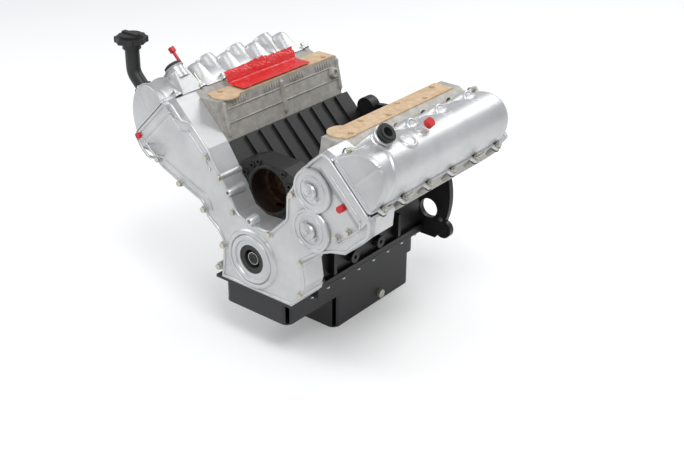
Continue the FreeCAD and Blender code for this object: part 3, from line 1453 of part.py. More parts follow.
def port_covers():
    """Thin plates over the intake ports of both heads, with their screws."""
    pieces = []
    for side in (RIGHT, LEFT):
        name = side_name(side)
        edge, width = "port_edge", "port_width"
        start = edge if side == RIGHT else "-%s - %s" % (edge, width)
        plate = box(name + "_port_plate", (width, 400, 3), (start, 20, "port_face + 0.1"))
        lobe_at = "%s * (port_edge + 20)" % side
        lobe = cylinder(name + "_port_lobe", 34, 3, (lobe_at, 46, "port_face + 0.1"))
        pieces.append(fuse(name + "_port_cover", [plate, lobe]))
        for index in range(6):
            middle = "%s * (port_edge + %d)" % (side, 12 if index % 2 else 40)
            pieces.append(cylinder("port_screw", 6, 3.5, (middle, 50 + 68 * index,
                                                          "port_face + 3.2")))
    return group("port_covers", pieces)


def protective_film():
    """The film left on the left plate: flat on it, with a raised edge towards the valley."""
    edge = "-port_edge - port_width + 4"
    flat = box("film_flat", ("port_width - 8", 230, 0.6), (edge, 95, "port_face + 7"))
    flap = box("film_flap", (34, 230, 0.6), (0, 0, 0))
    flap.Placement = Placement(Vector(-value("port_edge") - value("port_width") + 4.3, 95,
                                      value("port_face") + 7.3), Rotation(Vector(0, 1, 0), -130))
    return fuse("protective_film", [flat, flap])


def port_plugs():
    """Soft plastic plugs in the covers' open holes."""
    pieces = [cylinder("leg_plug", 7.8, 24, (x, "-cover_front - 6", z), "Y") for x, z in LEG_HOLES]
    top = cylinder("breather_plug", 11, 12, (-18, 142, "cover_plane + 78.2"))
    pieces.append(turned("right_plugs", RIGHT, [top]))
    stem = cylinder("tall_plug_stem", 4, 34, (40, 44, "cover_plane + 78.2"))
    head = cylinder("tall_plug_head", 8, 12, (40, 44, "cover_plane + 112"))
    pieces.append(turned("left_plugs", LEFT, [fuse("tall_plug", [stem, head])]))
    return group("port_plugs", pieces)


# ---------------------------------------------------------------- build and write

node("engine_block", cut("engine_block", casting(), block_hollows()))
node("main_caps", main_caps())
node("main_cap_bolts", main_cap_bolts())
node("main_bearings", half_rings("main_bearing", "main_journal / 2 + running_gap",
                                 "main_journal / 2 + 2.45", 20,
                                 ["main_one + %d * bore_pitch - 10" % index for index in range(5)]))
node("crankshaft", crankshaft())
node("crank_sprockets", crank_sprockets())
node("crank_seals", crank_seals())
node("rear_seal_retainer", rear_seal_retainer())
for number, side, index, y in cylinders():
    node("piston_%d" % number, feature("piston_%d" % number, piston(side, index, y)), side)
    node("rod_%d" % number, feature("rod_%d" % number, rod(side, index, y)), side)
for side in (RIGHT, LEFT):
    node(side_name(side) + "_cylinder_head", cylinder_head(side), side)
node("head_gaskets", head_gaskets())
node("head_bolts", head_bolts())
for side in (RIGHT, LEFT):
    name = side_name(side)
    node(name + "_camshaft", feature(name + "_camshaft", camshaft(side)), side)
    node(name + "_cam_phaser", feature(name + "_cam_phaser", cam_phaser(side)), side)
node("cam_caps", feature("cam_caps", cam_caps()))
node("intake_valves", feature("intake_valves", valves("intake")))
node("exhaust_valves", feature("exhaust_valves", valves("exhaust")))
node("valve_springs", feature("valve_springs", valve_springs()))
node("cam_followers", feature("cam_followers", cam_followers()))
node("timing_chains", feature("timing_chains", timing_chains()))
node("chain_guides", feature("chain_guides", chain_guides()))
node("oil_pump_inner_rotor", oil_pump_inner_rotor())
node("oil_pump_outer_rotor", oil_pump_outer_rotor())
node("oil_pump_housing", oil_pump_housing())
node("oil_pickup", oil_pickup())
node("windage_tray", windage_tray())
node("oil_pan", oil_pan())
node("oil_pan_fasteners", oil_pan_fasteners())
node("front_cover", front_cover())
node("front_cover_bolts", front_cover_bolts())
for side in (RIGHT, LEFT):
    node(side_name(side) + "_cam_cover", cam_cover(side), side)
node("cam_cover_gaskets", cam_cover_gaskets())
node("cam_cover_bolts", cam_cover_bolts())
node("vct_connector_seals", vct_connector_seals())
node("oil_filler_tube", oil_filler_tube())
node("oil_cap_seal", oil_cap_seal())
node("oil_filler_cap", oil_filler_cap())
node("core_plugs", core_plugs())
node("port_covers", port_covers())
node("protective_film", protective_film())
node("port_plugs", port_plugs())

doc.recompute()
for thing in doc.Objects:
    if "Invalid" in thing.State or "Error" in thing.State:
        raise RuntimeError("%s is %s" % (thing.Name, thing.State))
os.makedirs("parts", exist_ok=True)
for label, thing in NODES.items():
    if thing.Shape.isNull() or not thing.Shape.isValid():
        raise RuntimeError("%s has no sound shape" % label)
    thing.Shape.exportStep("parts/%s.step" % label)
    print(label, len(thing.Shape.Solids), round(thing.Shape.Volume), thing.Shape.BoundBox)
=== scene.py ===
"""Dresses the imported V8 long block: finishes, cast detail, boards, film, caps, floor and light."""

import json
import math

import bmesh
import bpy
import numpy as np
from mathutils import Matrix, Vector


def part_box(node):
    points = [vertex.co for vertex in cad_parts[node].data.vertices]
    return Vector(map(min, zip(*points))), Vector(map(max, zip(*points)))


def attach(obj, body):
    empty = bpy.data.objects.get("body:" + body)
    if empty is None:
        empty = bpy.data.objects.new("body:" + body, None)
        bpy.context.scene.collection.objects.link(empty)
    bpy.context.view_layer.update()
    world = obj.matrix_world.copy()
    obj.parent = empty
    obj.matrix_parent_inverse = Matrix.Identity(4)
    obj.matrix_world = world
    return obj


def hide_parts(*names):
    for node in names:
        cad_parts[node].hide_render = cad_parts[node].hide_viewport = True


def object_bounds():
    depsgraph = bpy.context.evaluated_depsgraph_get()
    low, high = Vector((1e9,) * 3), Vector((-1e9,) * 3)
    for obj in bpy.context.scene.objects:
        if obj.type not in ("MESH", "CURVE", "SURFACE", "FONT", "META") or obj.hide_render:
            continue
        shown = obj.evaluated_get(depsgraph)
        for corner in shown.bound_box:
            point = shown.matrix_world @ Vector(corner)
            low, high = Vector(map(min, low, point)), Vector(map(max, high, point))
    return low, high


bl_info = {
    "name": "V8 Long Block Dressing",
    "version": (1, 0, 0),
    "blender": (4, 5, 0),
    "location": "View3D > Sidebar > Long Block",
    "description": "Finishes and cast detail for a packed V8 long block",
    "category": "Object",
}

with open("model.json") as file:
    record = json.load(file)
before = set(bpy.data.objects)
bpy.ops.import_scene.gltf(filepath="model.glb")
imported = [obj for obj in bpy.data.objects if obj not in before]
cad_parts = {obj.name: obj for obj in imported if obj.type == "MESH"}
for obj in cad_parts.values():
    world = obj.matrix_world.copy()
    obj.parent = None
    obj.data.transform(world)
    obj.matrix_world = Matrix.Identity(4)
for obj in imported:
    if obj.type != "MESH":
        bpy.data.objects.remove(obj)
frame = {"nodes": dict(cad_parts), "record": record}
NODES = frame["nodes"]
CAD_BOX = [list(corner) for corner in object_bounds()]

MM = 1000
ROOT2 = math.sqrt(2)
RIGHT, LEFT = 1, -1
BLOCK_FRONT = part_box("engine_block")[0].y * MM
PUMP_HEIGHT = 150


# ------------------------------------------------------------------ shader maths

class Wire:
    """A shader socket that works in Python arithmetic: each operator adds its Math node."""

    def __init__(self, tree, socket):
        self.tree = tree
        self.socket = socket

    def worked_out(self, operation, *items):
        """The wire of a new Math node on some items, in their order."""
        ports = {f"at{index}": item for index, item in enumerate(items)}
        return add_node(self.tree, "ShaderNodeMath", {"operation": operation}, **ports)

    def __add__(self, other):
        return self.worked_out("ADD", self, other)

    def __sub__(self, other):
        return self.worked_out("SUBTRACT", self, other)

    def __rsub__(self, other):
        return self.worked_out("SUBTRACT", other, self)

    def __mul__(self, other):
        return self.worked_out("MULTIPLY", self, other)

    __radd__ = __add__
    __rmul__ = __mul__


def plug(tree, port, item):
    """Sets a socket from a number or colour, or links a wire to it."""
    if isinstance(item, Wire):
        tree.links.new(item.socket, port)
    else:
        port.default_value = item


def add_node(tree, kind, settings=None, output=0, **sockets):
    """Adds a node: its settings first, then the values or wires of its sockets, which are named
    or, as at6, numbered. Gives the wire of one output."""
    node = tree.nodes.new(kind)
    for key, setting in (settings or {}).items():
        setattr(node, key, setting)
    for key, item in sockets.items():
        port = node.inputs[int(key[2:])] if key.startswith("at") else node.inputs[key]
        plug(tree, port, item)
    return Wire(tree, node.outputs[output])


class Finish:
    """One procedural material: its tree, its shader and the piece's own coordinates."""

    def __init__(self, name, **constants):
        self.material = bpy.data.materials.new(name)
        self.material.use_nodes = True
        self.tree = self.material.node_tree
        self.shader = self.tree.nodes["Principled BSDF"]
        for socket, number in constants.items():
            self.shader.inputs[socket.replace("_", " ")].default_value = number
        self.place = self.node("ShaderNodeTexCoord", output="Object")

    def node(self, kind, settings=None, output=0, **sockets):
        """Adds a node to this finish."""
        return add_node(self.tree, kind, settings, output, **sockets)

    def sine(self, wire):
        """The sine of a wire in radians."""
        return wire.worked_out("SINE", wire)

    def noise(self, scale, detail=3, roughness=0.6):
        """Cloudy noise of 0 to 1; scale is its waves in a metre."""
        return self.node("ShaderNodeTexNoise", Vector=self.place, Scale=scale, Detail=detail,
                         Roughness=roughness)

    def steps(self, wire, low, high):
        """0 at low, 1 at high, smooth between and level beyond."""
        return self.node("ShaderNodeMapRange", {"interpolation_type": "SMOOTHSTEP"},
                         Value=wire, at1=low, at2=high)

    def blend(self, share, first, second):
        """Mixes two colours."""
        first = first if isinstance(first, Wire) else (*first, 1)
        second = second if isinstance(second, Wire) else (*second, 1)
        return self.node("ShaderNodeMix", {"data_type": "RGBA"}, output=2,
                         at0=share, at6=first, at7=second)

    def axes(self):
        """The piece's X, Y and Z as three wires."""
        first = self.node("ShaderNodeSeparateXYZ", at0=self.place)
        return [Wire(self.tree, port) for port in first.socket.node.outputs]

    def feed(self, **sockets):
        """Sets or links the shader's sockets, each named with _ for its spaces."""
        for key, item in sockets.items():
            plug(self.tree, self.shader.inputs[key.replace("_", " ")], item)

    def bump(self, height, depth):
        """Raises the surface by a height of 0 to 1 times the depth in metres."""
        self.feed(Normal=self.node("ShaderNodeBump", Height=height, Distance=depth, Strength=1.0))


# ------------------------------------------------------------------ finishes

class FinishColours(bpy.types.PropertyGroup):
    iron: bpy.props.FloatVectorProperty(
        name="Black spray", description="Lightest shade of the block's black paint",
        default=(0.014, 0.0135, 0.013), subtype="COLOR", min=0, max=1)
    silver: bpy.props.FloatVectorProperty(
        name="Silver paint", description="Lightest shade of the covers' paint",
        default=(0.62, 0.625, 0.63), subtype="COLOR", min=0, max=1)
    casting: bpy.props.FloatVectorProperty(
        name="Bare casting", description="Lightest shade of the heads' bare aluminium",
        default=(0.50, 0.485, 0.45), subtype="COLOR", min=0, max=1)
    board: bpy.props.FloatVectorProperty(
        name="Board", description="Lightest shade of the port covers' pressed board",
        default=(0.66, 0.49, 0.33), subtype="COLOR", min=0, max=1)
    film: bpy.props.FloatVectorProperty(
        name="Film", description="Lightest shade of the red film",
        default=(0.85, 0.03, 0.03), subtype="COLOR", min=0, max=1)


def cast_iron(colours):
    """Black sprayed casting: sandy skin, oily patches, brown bare metal inside the pump bore,
    which is where x^2 + up^2 is under the square of about 55 mm, near the front face."""
    finish = Finish("black_casting", Metallic=0.0, Specular_IOR_Level=0.4)
    skin, patches, dust = finish.noise(420, 4), finish.noise(14, 5), finish.noise(90, 5)
    x, y, z = finish.axes()
    up = z - PUMP_HEIGHT / MM
    front = BLOCK_FRONT / MM
    inside = finish.steps(x * x + up * up, 0.00310, 0.00292)
    bare = inside * finish.steps(y, front + 0.1, front + 0.09)
    paint = finish.blend(finish.steps(patches, 0.35, 0.7), (0.0045, 0.0045, 0.005), colours.iron)
    paint = finish.blend(finish.steps(dust, 0.62, 0.75) * 0.35, paint, (0.10, 0.098, 0.09))
    depth = finish.steps(y, front + 0.02, front + 0.06)
    rings = finish.blend(finish.steps(finish.sine(y * 900), -0.4, 0.6), (0.004, 0.003, 0.0025),
                         (0.022, 0.012, 0.009))
    rust = finish.blend(finish.steps(dust, 0.35, 0.7), (0.05, 0.024, 0.014), (0.13, 0.065, 0.04))
    brown = finish.blend(depth, rings, rust)
    finish.feed(Base_Color=finish.blend(bare, paint, brown), Roughness=0.27 + patches * 0.3)
    finish.bump(skin * 0.6 + patches * 0.4, 0.0009)
    return finish.material


def cast_aluminium(colours):
    """Bare sand-cast aluminium: warm grey, grainy, a little stained."""
    finish = Finish("bare_casting", Metallic=0.35)
    skin, stains, grime = finish.noise(480, 4), finish.noise(60, 5), finish.noise(8, 4)
    shade = finish.blend(finish.steps(stains, 0.3, 0.75), (0.36, 0.345, 0.31), colours.casting)
    shade = finish.blend(finish.steps(grime, 0.5, 0.8) * 0.35, shade, (0.26, 0.245, 0.21))
    finish.feed(Base_Color=shade, Roughness=0.48 + stains * 0.2)
    finish.bump(skin, 0.0007)
    return finish.material


def silver_paint(colours):
    """Sprayed silver over a fine casting: softly shining, darker in slow clouds and in specks."""
    finish = Finish("silver_paint", Metallic=0.62)
    skin, mist, spots = finish.noise(650, 3), finish.noise(9, 4), finish.noise(120, 5)
    shade = finish.blend(finish.steps(mist, 0.3, 0.75), (0.50, 0.505, 0.51), colours.silver)
    shade = finish.blend(finish.steps(spots, 0.66, 0.8) * 0.5, shade, (0.30, 0.30, 0.29))
    finish.feed(Base_Color=shade, Roughness=0.27 + mist * 0.16)
    finish.bump(skin * 0.7 + spots * 0.3, 0.0005)
    return finish.material


def plain_metal(name, shade, metallic=0.9, roughness=0.3, grain=300, depth=0.0001):
    """Metal of one shade with a fine grain and a slow change of shine."""
    finish = Finish(name, Metallic=metallic)
    slow, fine = finish.noise(30, 4), finish.noise(grain, 3)
    darker = tuple(part * 0.75 for part in shade)
    finish.feed(Base_Color=finish.blend(finish.steps(slow, 0.3, 0.7), darker, shade),
                Roughness=roughness + slow * 0.18)
    finish.bump(fine, depth)
    return finish.material


def plastic(name, shade, roughness=0.4):
    """Moulded plastic or rubber with a faint grain."""
    finish = Finish(name, Metallic=0.0)
    slow, fine = finish.noise(40, 3), finish.noise(500, 2)
    darker = tuple(part * 0.78 for part in shade)
    finish.feed(Base_Color=finish.blend(slow, darker, shade), Roughness=roughness + slow * 0.15)
    finish.bump(fine, 0.00012)
    return finish.material


def cover_board(colours):
    """Pressed brown board: short fibres and flecks."""
    finish = Finish("pressed_board", Metallic=0.0)
    fibre, flecks = finish.noise(900, 5, 0.7), finish.noise(60, 4)
    shade = finish.blend(finish.steps(flecks, 0.3, 0.75), (0.50, 0.35, 0.21), colours.board)
    finish.feed(Base_Color=finish.blend(finish.steps(fibre, 0.35, 0.8) * 0.5, shade,
                                        (0.40, 0.27, 0.15)), Roughness=0.7 + flecks * 0.15)
    finish.bump(fibre, 0.0003)
    return finish.material


def red_film(colours):
    """Thin red film that lets light through and shines along its creases."""
    finish = Finish("red_film", Metallic=0.0)
    creases = finish.noise(30, 4)
    finish.feed(Base_Color=finish.blend(creases, (0.62, 0.01, 0.015), colours.film),
                Roughness=0.12 + creases * 0.2, Alpha=0.72 + creases * 0.2)
    finish.bump(creases, 0.002)
    return finish.material


METALS = {
    "machined_steel": ((0.42, 0.42, 0.41),),
    "black_steel": ((0.035, 0.035, 0.035), 0.6, 0.4),
    "zinc_steel": ((0.62, 0.60, 0.52), 0.85, 0.32),
    "bearing_shell": ((0.55, 0.54, 0.52),),
    "gasket_steel": ((0.16, 0.16, 0.17), 0.7, 0.4),
    "piston_alloy": ((0.6, 0.6, 0.6),),
    "pan_paint": ((0.018, 0.018, 0.02), 0.1, 0.38, 400, 0.0003),
    "brass": ((0.55, 0.42, 0.18),),
}
PLASTICS = {
    "black_rubber": ((0.022, 0.022, 0.022), 0.55),
    "guide_plastic": ((0.5, 0.46, 0.36),),
    "red_plastic": ((0.62, 0.015, 0.02), 0.3),
    "black_plastic": ((0.015, 0.015, 0.015), 0.42),
}
OTHERS = {"cast_iron": cast_iron, "cast_aluminium": cast_aluminium, "silver_paint": silver_paint,
          "cover_board": cover_board, "red_film": red_film}
FINISHES = {}


def make_finishes(colours):
    """Makes every finish once and keeps it by its material slot's name."""
    for slot, settings in METALS.items():
        FINISHES[slot] = plain_metal(slot, *settings)
    for slot, settings in PLASTICS.items():
        FINISHES[slot] = plastic(slot, *settings)
    for slot, make in OTHERS.items():
        FINISHES[slot] = make(colours)


# ------------------------------------------------------------------ surfaces

def bank(side, out, along, up):
    """A bank's own axes, out from its middle, along the crank and up, turned 45 degrees, in mm."""
    out, along, up = np.broadcast_arrays(out, along, up)
    return np.stack([side * (up + out) / ROOT2, along, (up - out) / ROOT2], -1)


def ahead(across, along, up):
    """Plain engine axes: across, back from the block's front face, and up, in mm."""
    across, along, up = np.broadcast_arrays(across, along, up)
    return np.stack([across, along, up], -1).astype(float)


class Shape:
    """Gathers closed surfaces given as grids of points, then makes one object of them."""

    def __init__(self):
        self.points, self.faces, self.count = [], [], 0

    def grid(self, points, round_rows=False, round_columns=False):
        """Quads between neighbours of a rows x columns grid; either way may join up."""
        rows, columns = points.shape[:2]
        index = np.arange(rows * columns).reshape(rows, columns) + self.count
        if round_rows:
            index = np.vstack([index, index[:1]])
        if round_columns:
            index = np.hstack([index, index[:, :1]])
        quads = np.stack([index[:-1, :-1], index[1:, :-1], index[1:, 1:], index[:-1, 1:]], -1)
        self.points.append(points.reshape(-1, 3))
        self.faces.append(quads.reshape(-1, 4))
        self.count += rows * columns

    def lathe(self, place, profile, sides=40, ring=False):
        """Turns a profile of (radius, height) about an axis; place maps (a, b, height) to points.
        A ring's profile joins up, so its middle stays open."""
        radius, height = np.array(profile, float).T
        angle = np.linspace(0, 2 * np.pi, sides, endpoint=False)
        a = radius[:, None] * np.cos(angle)
        b = radius[:, None] * np.sin(angle)
        self.grid(place(a, b, height[:, None] + 0 * a), round_rows=ring, round_columns=True)

    def bead(self, path, radius, sides=10):
        """A round bead along a path: at each point a circle, r (cos t first + sin t second),
        square to the path's step there. It closes to a point at both ends."""
        path = np.array(path, float)
        step = np.gradient(path, axis=0)
        step /= np.linalg.norm(step, axis=1)[:, None]
        lengthwise = np.abs(step[:, 1]) > 0.9
        guide = np.where(lengthwise[:, None], (1.0, 0, 0), (0, 1.0, 0))
        first = np.cross(step, guide)
        first /= np.linalg.norm(first, axis=1)[:, None]
        second = np.cross(step, first)
        size = np.full(len(path), float(radius))
        size[[0, -1]] *= 0.02
        angle = np.linspace(0, 2 * np.pi, sides, endpoint=False)
        ring = (np.cos(angle)[None, :, None] * first[:, None]
                + np.sin(angle)[None, :, None] * second[:, None])
        self.grid(path[:, None] + ring * size[:, None, None], round_columns=True)

    def make(self, name, slot, body="long_block", replaced=None, sharp=40):
        """Makes one object of the gathered grids: doubles merged, open ends filled, faces turned
        outwards, smooth but for edges sharper than an angle. Its finish is its slot's."""
        mesh = bpy.data.meshes.new(name)
        points = np.vstack(self.points) + (0, BLOCK_FRONT, 0)
        mesh.from_pydata((points / MM).tolist(), [], np.vstack(self.faces).tolist())
        shell = bmesh.new()
        shell.from_mesh(mesh)
        bmesh.ops.remove_doubles(shell, verts=shell.verts, dist=0.00002)
        bmesh.ops.dissolve_degenerate(shell, edges=shell.edges, dist=0.00001)
        ends = [edge for edge in shell.edges if edge.is_boundary]
        bmesh.ops.holes_fill(shell, edges=ends, sides=0)
        bmesh.ops.recalc_face_normals(shell, faces=shell.faces)
        shell.to_mesh(mesh)
        shell.free()
        mesh.shade_smooth()
        mesh.set_sharp_from_angle(angle=math.radians(sharp))
        thing = bpy.data.objects.new(name, mesh)
        bpy.context.scene.collection.objects.link(thing)
        mesh.materials.append(FINISHES[slot])
        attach(thing, body)
        if replaced:
            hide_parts(replaced)


def upright_on(side, out, along):
    """Where a turned piece stands up from a bank."""
    return lambda a, b, height: bank(side, out + a, along + b, height)


def facing_front(across, up, face):
    """Where a turned piece lies on the engine's front; its height runs forward from a face."""
    return lambda a, b, height: ahead(across + a, face - height, up + b)


def off_the_wall(side, out, along, up):
    """Where a turned piece stands off a head's wall over the valley: its height runs along
    (-0.85, -0.53) in out and up."""
    return lambda a, b, height: bank(side, out - 0.85 * height + 0.53 * a, along + b,
                                     up - 0.53 * height - 0.85 * a)


def bell(x, middle, width, power=2):
    """1 at the middle, falling off over the width; higher powers give a flatter top."""
    return np.exp(-np.abs((x - middle) / width) ** power)


# ------------------------------------------------------------------ stage

def seen(tree):
    """1 for rays from the camera, from gloss and through clear pieces, 0 for other light."""
    from_camera = add_node(tree, "ShaderNodeLightPath", output="Is Camera Ray")
    rays = from_camera.socket.node.outputs
    total = from_camera + Wire(tree, rays["Is Glossy Ray"])
    total = total + Wire(tree, rays["Is Transmission Ray"])
    return total.worked_out("MINIMUM", total, 1.0)


def paper(name):
    """A pale floor that keeps its shadows and looks lit to its edges."""
    finish = Finish(name, Roughness=0.85, Emission_Strength=0.2)
    grain = finish.noise(3, 2)
    glow = finish.blend(seen(finish.tree), (0.0, 0.0, 0.0), (1.0, 1.0, 1.0))
    finish.feed(Base_Color=finish.blend(grain, (0.80, 0.80, 0.80), (0.83, 0.83, 0.83)),
                Emission_Color=glow)
    return finish.material


def backdrop():
    """White where the camera sees it, and a soft even light on the object."""
    world = bpy.data.worlds.new("world")
    bpy.context.scene.world = world
    world.use_nodes = True
    tree = world.node_tree
    soft = tree.nodes["Background"]
    soft.inputs["Color"].default_value = (0.95, 0.97, 1, 1)
    soft.inputs["Strength"].default_value = 0.55
    white = add_node(tree, "ShaderNodeBackground", Color=(1, 1, 1, 1), Strength=1.0)
    from_camera = add_node(tree, "ShaderNodeLightPath", output="Is Camera Ray")
    both = add_node(tree, "ShaderNodeMixShader", at0=from_camera,
                    at1=Wire(tree, soft.outputs["Background"]), at2=white)
    plug(tree, tree.nodes["World Output"].inputs["Surface"], both)


def soft_lamp(name, place, aim, size, watts):
    """A square lamp at a place, turned to its aim; both and its size are in metres."""
    light = bpy.data.lights.new(name, "AREA")
    light.shape, light.size, light.size_y, light.energy = "RECTANGLE", size, size, watts
    lamp = bpy.data.objects.new(name, light)
    bpy.context.scene.collection.objects.link(lamp)
    lamp.location = place
    lamp.rotation_mode = "QUATERNION"
    lamp.rotation_quaternion = (Vector(aim) - Vector(place)).to_track_quat("-Z", "Y")


def camera():
    """Looks down on the front right corner: from an angle round from the front, an angle above
    and a small roll, at a place that takes in the whole block."""
    round_from_front, above, roll = (math.radians(angle) for angle in (38.77, 27.33, 0.43))
    back = Vector((math.sin(round_from_front) * math.cos(above),
                   -math.cos(round_from_front) * math.cos(above), math.sin(above)))
    right = Vector((math.cos(round_from_front), math.sin(round_from_front), 0))
    up = back.cross(right)
    right, up = (right * math.cos(roll) + up * math.sin(roll),
                 up * math.cos(roll) - right * math.sin(roll))
    data = bpy.data.cameras.new("camera")
    data.sensor_width, data.lens = 36, 61.405
    made = bpy.data.objects.new("camera", data)
    bpy.context.scene.collection.objects.link(made)
    turn = Matrix((right, up, back)).transposed()
    made.matrix_world = Matrix.Translation((1.6235, -2.2273, 1.2898)) @ turn.to_4x4()
    data.clip_start, data.clip_end = 0.05, 100
    bpy.context.scene.camera = made


# ------------------------------------------------------------------ cam covers

FLANGE = 406
BARREL_MIDDLE = 16
BARREL_FRONT = -80
FIRST_BORE = {RIGHT: 82, LEFT: 62}
COVER_END = {RIGHT: 438, LEFT: 424}
OUTER_LUGS = (-40, 30, 120, 210, 300, 390)
CONNECTOR = (-40, 18)
FILLER = (40, -25)

# Round humps on a cover: its place (out, along), radius and height over the flange.
TOWERS = {
    RIGHT: [((-34, along), 20, 52) for along in (130, 237, 347)] + [(CONNECTOR, 25, 56)],
    LEFT: ([((-33, 76 + 100 * row), 22, 64) for row in range(4)]
           + [((-8, along), 25, 86) for along in (142, 244, 346)]
           + [(CONNECTOR, 25, 62), (FILLER, 27, 60), ((-6, 36), 24, 80)]),
}

# Shallow round pads on a cover: place, radius and height.
PADS = {
    RIGHT: [((-36, 130), 17, 3), ((-36, 237), 18, 3), ((-35, 347), 18, 3), ((-8, 68), 20, 4),
            ((-14, 120), 14, 3)],
    LEFT: [((-33, 76 + 100 * row), 16, 3) for row in range(4)],
}

# Necks on a cover: place, top over the flange, radius and bore.
NECKS = {
    RIGHT: [(CONNECTOR, 66, 21, 17)],
    LEFT: [(CONNECTOR, 72, 21, 17), (FILLER, 72, 25, 19)],
}


class CoverSizes(bpy.types.PropertyGroup):
    rise: bpy.props.FloatProperty(
        name="Rise", description="Height of a cam cover's barrel over its flange",
        default=0.076, min=0.06, max=0.08, unit="LENGTH")
    half_width: bpy.props.FloatProperty(
        name="Half width", description="Half the width of the barrel at the flange",
        default=0.064, min=0.056, max=0.066, unit="LENGTH")
    softness: bpy.props.FloatProperty(
        name="Softness", description="How softly towers and barrel run together",
        default=0.0025, min=0.0005, max=0.006, unit="LENGTH")
    rim: bpy.props.FloatProperty(
        name="Rim", description="How wide a cam cover's flange is",
        default=0.014, min=0.008, max=0.02, unit="LENGTH")


def soft_greatest(heights, softness):
    """The greatest of several heights with its creases filled: s ln(sum of e^(h / s))."""
    return softness * np.logaddexp.reduce(np.array(np.broadcast_arrays(*heights)) / softness)


def disc(out, along, middle, radius):
    """1 inside a circle and 0 outside, over about 2 mm."""
    away = np.hypot(out - middle[0], along - middle[1])
    return 0.5 - 0.5 * np.tanh((away - radius) / 1.1)


def crown(side, out, along, sizes):
    """Height of a cover over its flange. The barrel is rise sqrt(1 - b^2 - a^2), where b runs
    from 0 to 1 over its rounded last 38 mm and a is the share of its half width. Towers join
    it softly, and a steep wall cuts it off in front."""
    rounding = 38
    behind = np.clip((along - COVER_END[side] + rounding) / rounding, 0, 1)
    across = (out - BARREL_MIDDLE) / (sizes.half_width * MM)
    barrel = sizes.rise * MM * np.sqrt(np.clip(1 - behind ** 2 - across ** 2, 0, 1))
    heights = [barrel]
    for middle, radius, top in TOWERS[side]:
        away = np.hypot(out - middle[0], along - middle[1])
        heights.append(top - 5 * np.maximum(away - radius, 0) - 4 * (away / radius) ** 4)
    both = soft_greatest(heights, sizes.softness * MM)
    wall = 4.2 * (along - BARREL_FRONT)
    return -soft_greatest([-both, -wall], 2)


def flange_line(side):
    """The flange's edge, a rectangle with averaged corners, and its outward normals."""
    inner, outer, front, rear = -50, 84, BARREL_FRONT - 1, COVER_END[side] + 6
    corners = np.array([(outer, front), (outer, rear), (inner, rear), (inner, front),
                        (outer, front)], float)
    runs = np.hypot(*np.diff(corners, axis=0).T)
    gone = np.linspace(0, runs.sum(), 900, endpoint=False)
    stops = np.concatenate([[0], np.cumsum(runs)])
    line = np.stack([np.interp(gone, stops, column) for column in corners.T], -1)
    for _ in range(3):
        line = sum(np.roll(line, shift, 0) for shift in range(-4, 5)) / 9
    step = np.roll(line, -1, 0) - np.roll(line, 1, 0)
    normal = np.stack([step[:, 1], -step[:, 0]], -1) / np.linalg.norm(step, axis=1)[:, None]
    return line, normal


def flange(shape, side, rim):
    """Slab round the cover with a raised edge: its outline bulges into a lug at each screw."""
    line, normal = flange_line(side)
    lugs = np.zeros(len(line))
    for along in OUTER_LUGS:
        lugs += 14 * bell(line[:, 1], along, 11, 4) * (line[:, 0] > 70)
    for along in (-30, 50, FIRST_BORE[side] + 64, COVER_END[side] - 6):
        lugs += 11 * bell(line[:, 1], along, 12, 4) * (line[:, 0] < -40)
    line = line + normal * lugs[:, None]
    profile = [(-rim, 0), (0, 0), (0.2, 7), (-0.8, 8.4), (-6, 8.4), (-7.5, 7), (-rim, 7)]
    rows = []
    for out, up in profile:
        edge = line + normal * out
        rows.append(bank(side, edge[:, 0], edge[:, 1], FLANGE + up))
    shape.grid(np.stack(rows, 1), round_rows=True, round_columns=True)


def neck_ring(shape, side, middle, top, radius, bore):
    """A turned collar with a rounded rim and an open mouth, its foot inside the barrel."""
    low, top = FLANGE + 40, FLANGE + top
    profile = [(bore, low), (radius + 2, low), (radius, low + 14), (radius, top - 3),
               (radius + 3, top - 2), (radius + 3.5, top), (radius + 1, top + 2),
               (bore + 1, top + 2), (bore, top), (bore, low)]
    shape.lathe(upright_on(side, *middle), profile)


def cam_cover(side, name, sizes):
    """Cast cover: barrel, towers, pads and two beads across its front as one height over a
    grid whose columns run round the barrel, out = 12 + 68 cos t; then flange and necks."""
    shape = Shape()
    turn = np.linspace(0, np.pi, 170)[None]
    along = np.concatenate([np.linspace(BARREL_FRONT, -56, 36),
                            np.linspace(-55, COVER_END[side], 300)])[:, None]
    out = 12 + 68 * np.cos(turn)
    height = crown(side, out, along, sizes)
    clear = np.clip(height / 12, 0, 1)
    bead_at = -14 - 0.3 * (out - BARREL_MIDDLE)
    height += clear * 3.5 * (bell(along, bead_at, 4.5) + bell(along, -56, 3.5))
    height += clear * 2.5 * bell(out, BARREL_MIDDLE, 3.5) * (along < -56)
    for middle, radius, rise in PADS[side]:
        height += rise * disc(out, along, middle, radius)
        height -= 0.7 * rise * disc(out, along, middle, radius - 6)
    height[:, [0, -1]] = -1
    height[[0, -1]] = -1
    height = np.maximum(height, -1)
    shape.grid(bank(side, out, along, FLANGE + height))
    flange(shape, side, sizes.rim * MM)
    for middle, top, radius, bore in NECKS[side]:
        neck_ring(shape, side, middle, top, radius, bore)
    shape.make(name + "_cover_casting", "silver_paint", replaced=name + "_cam_cover")


# ------------------------------------------------------------------ timing cover

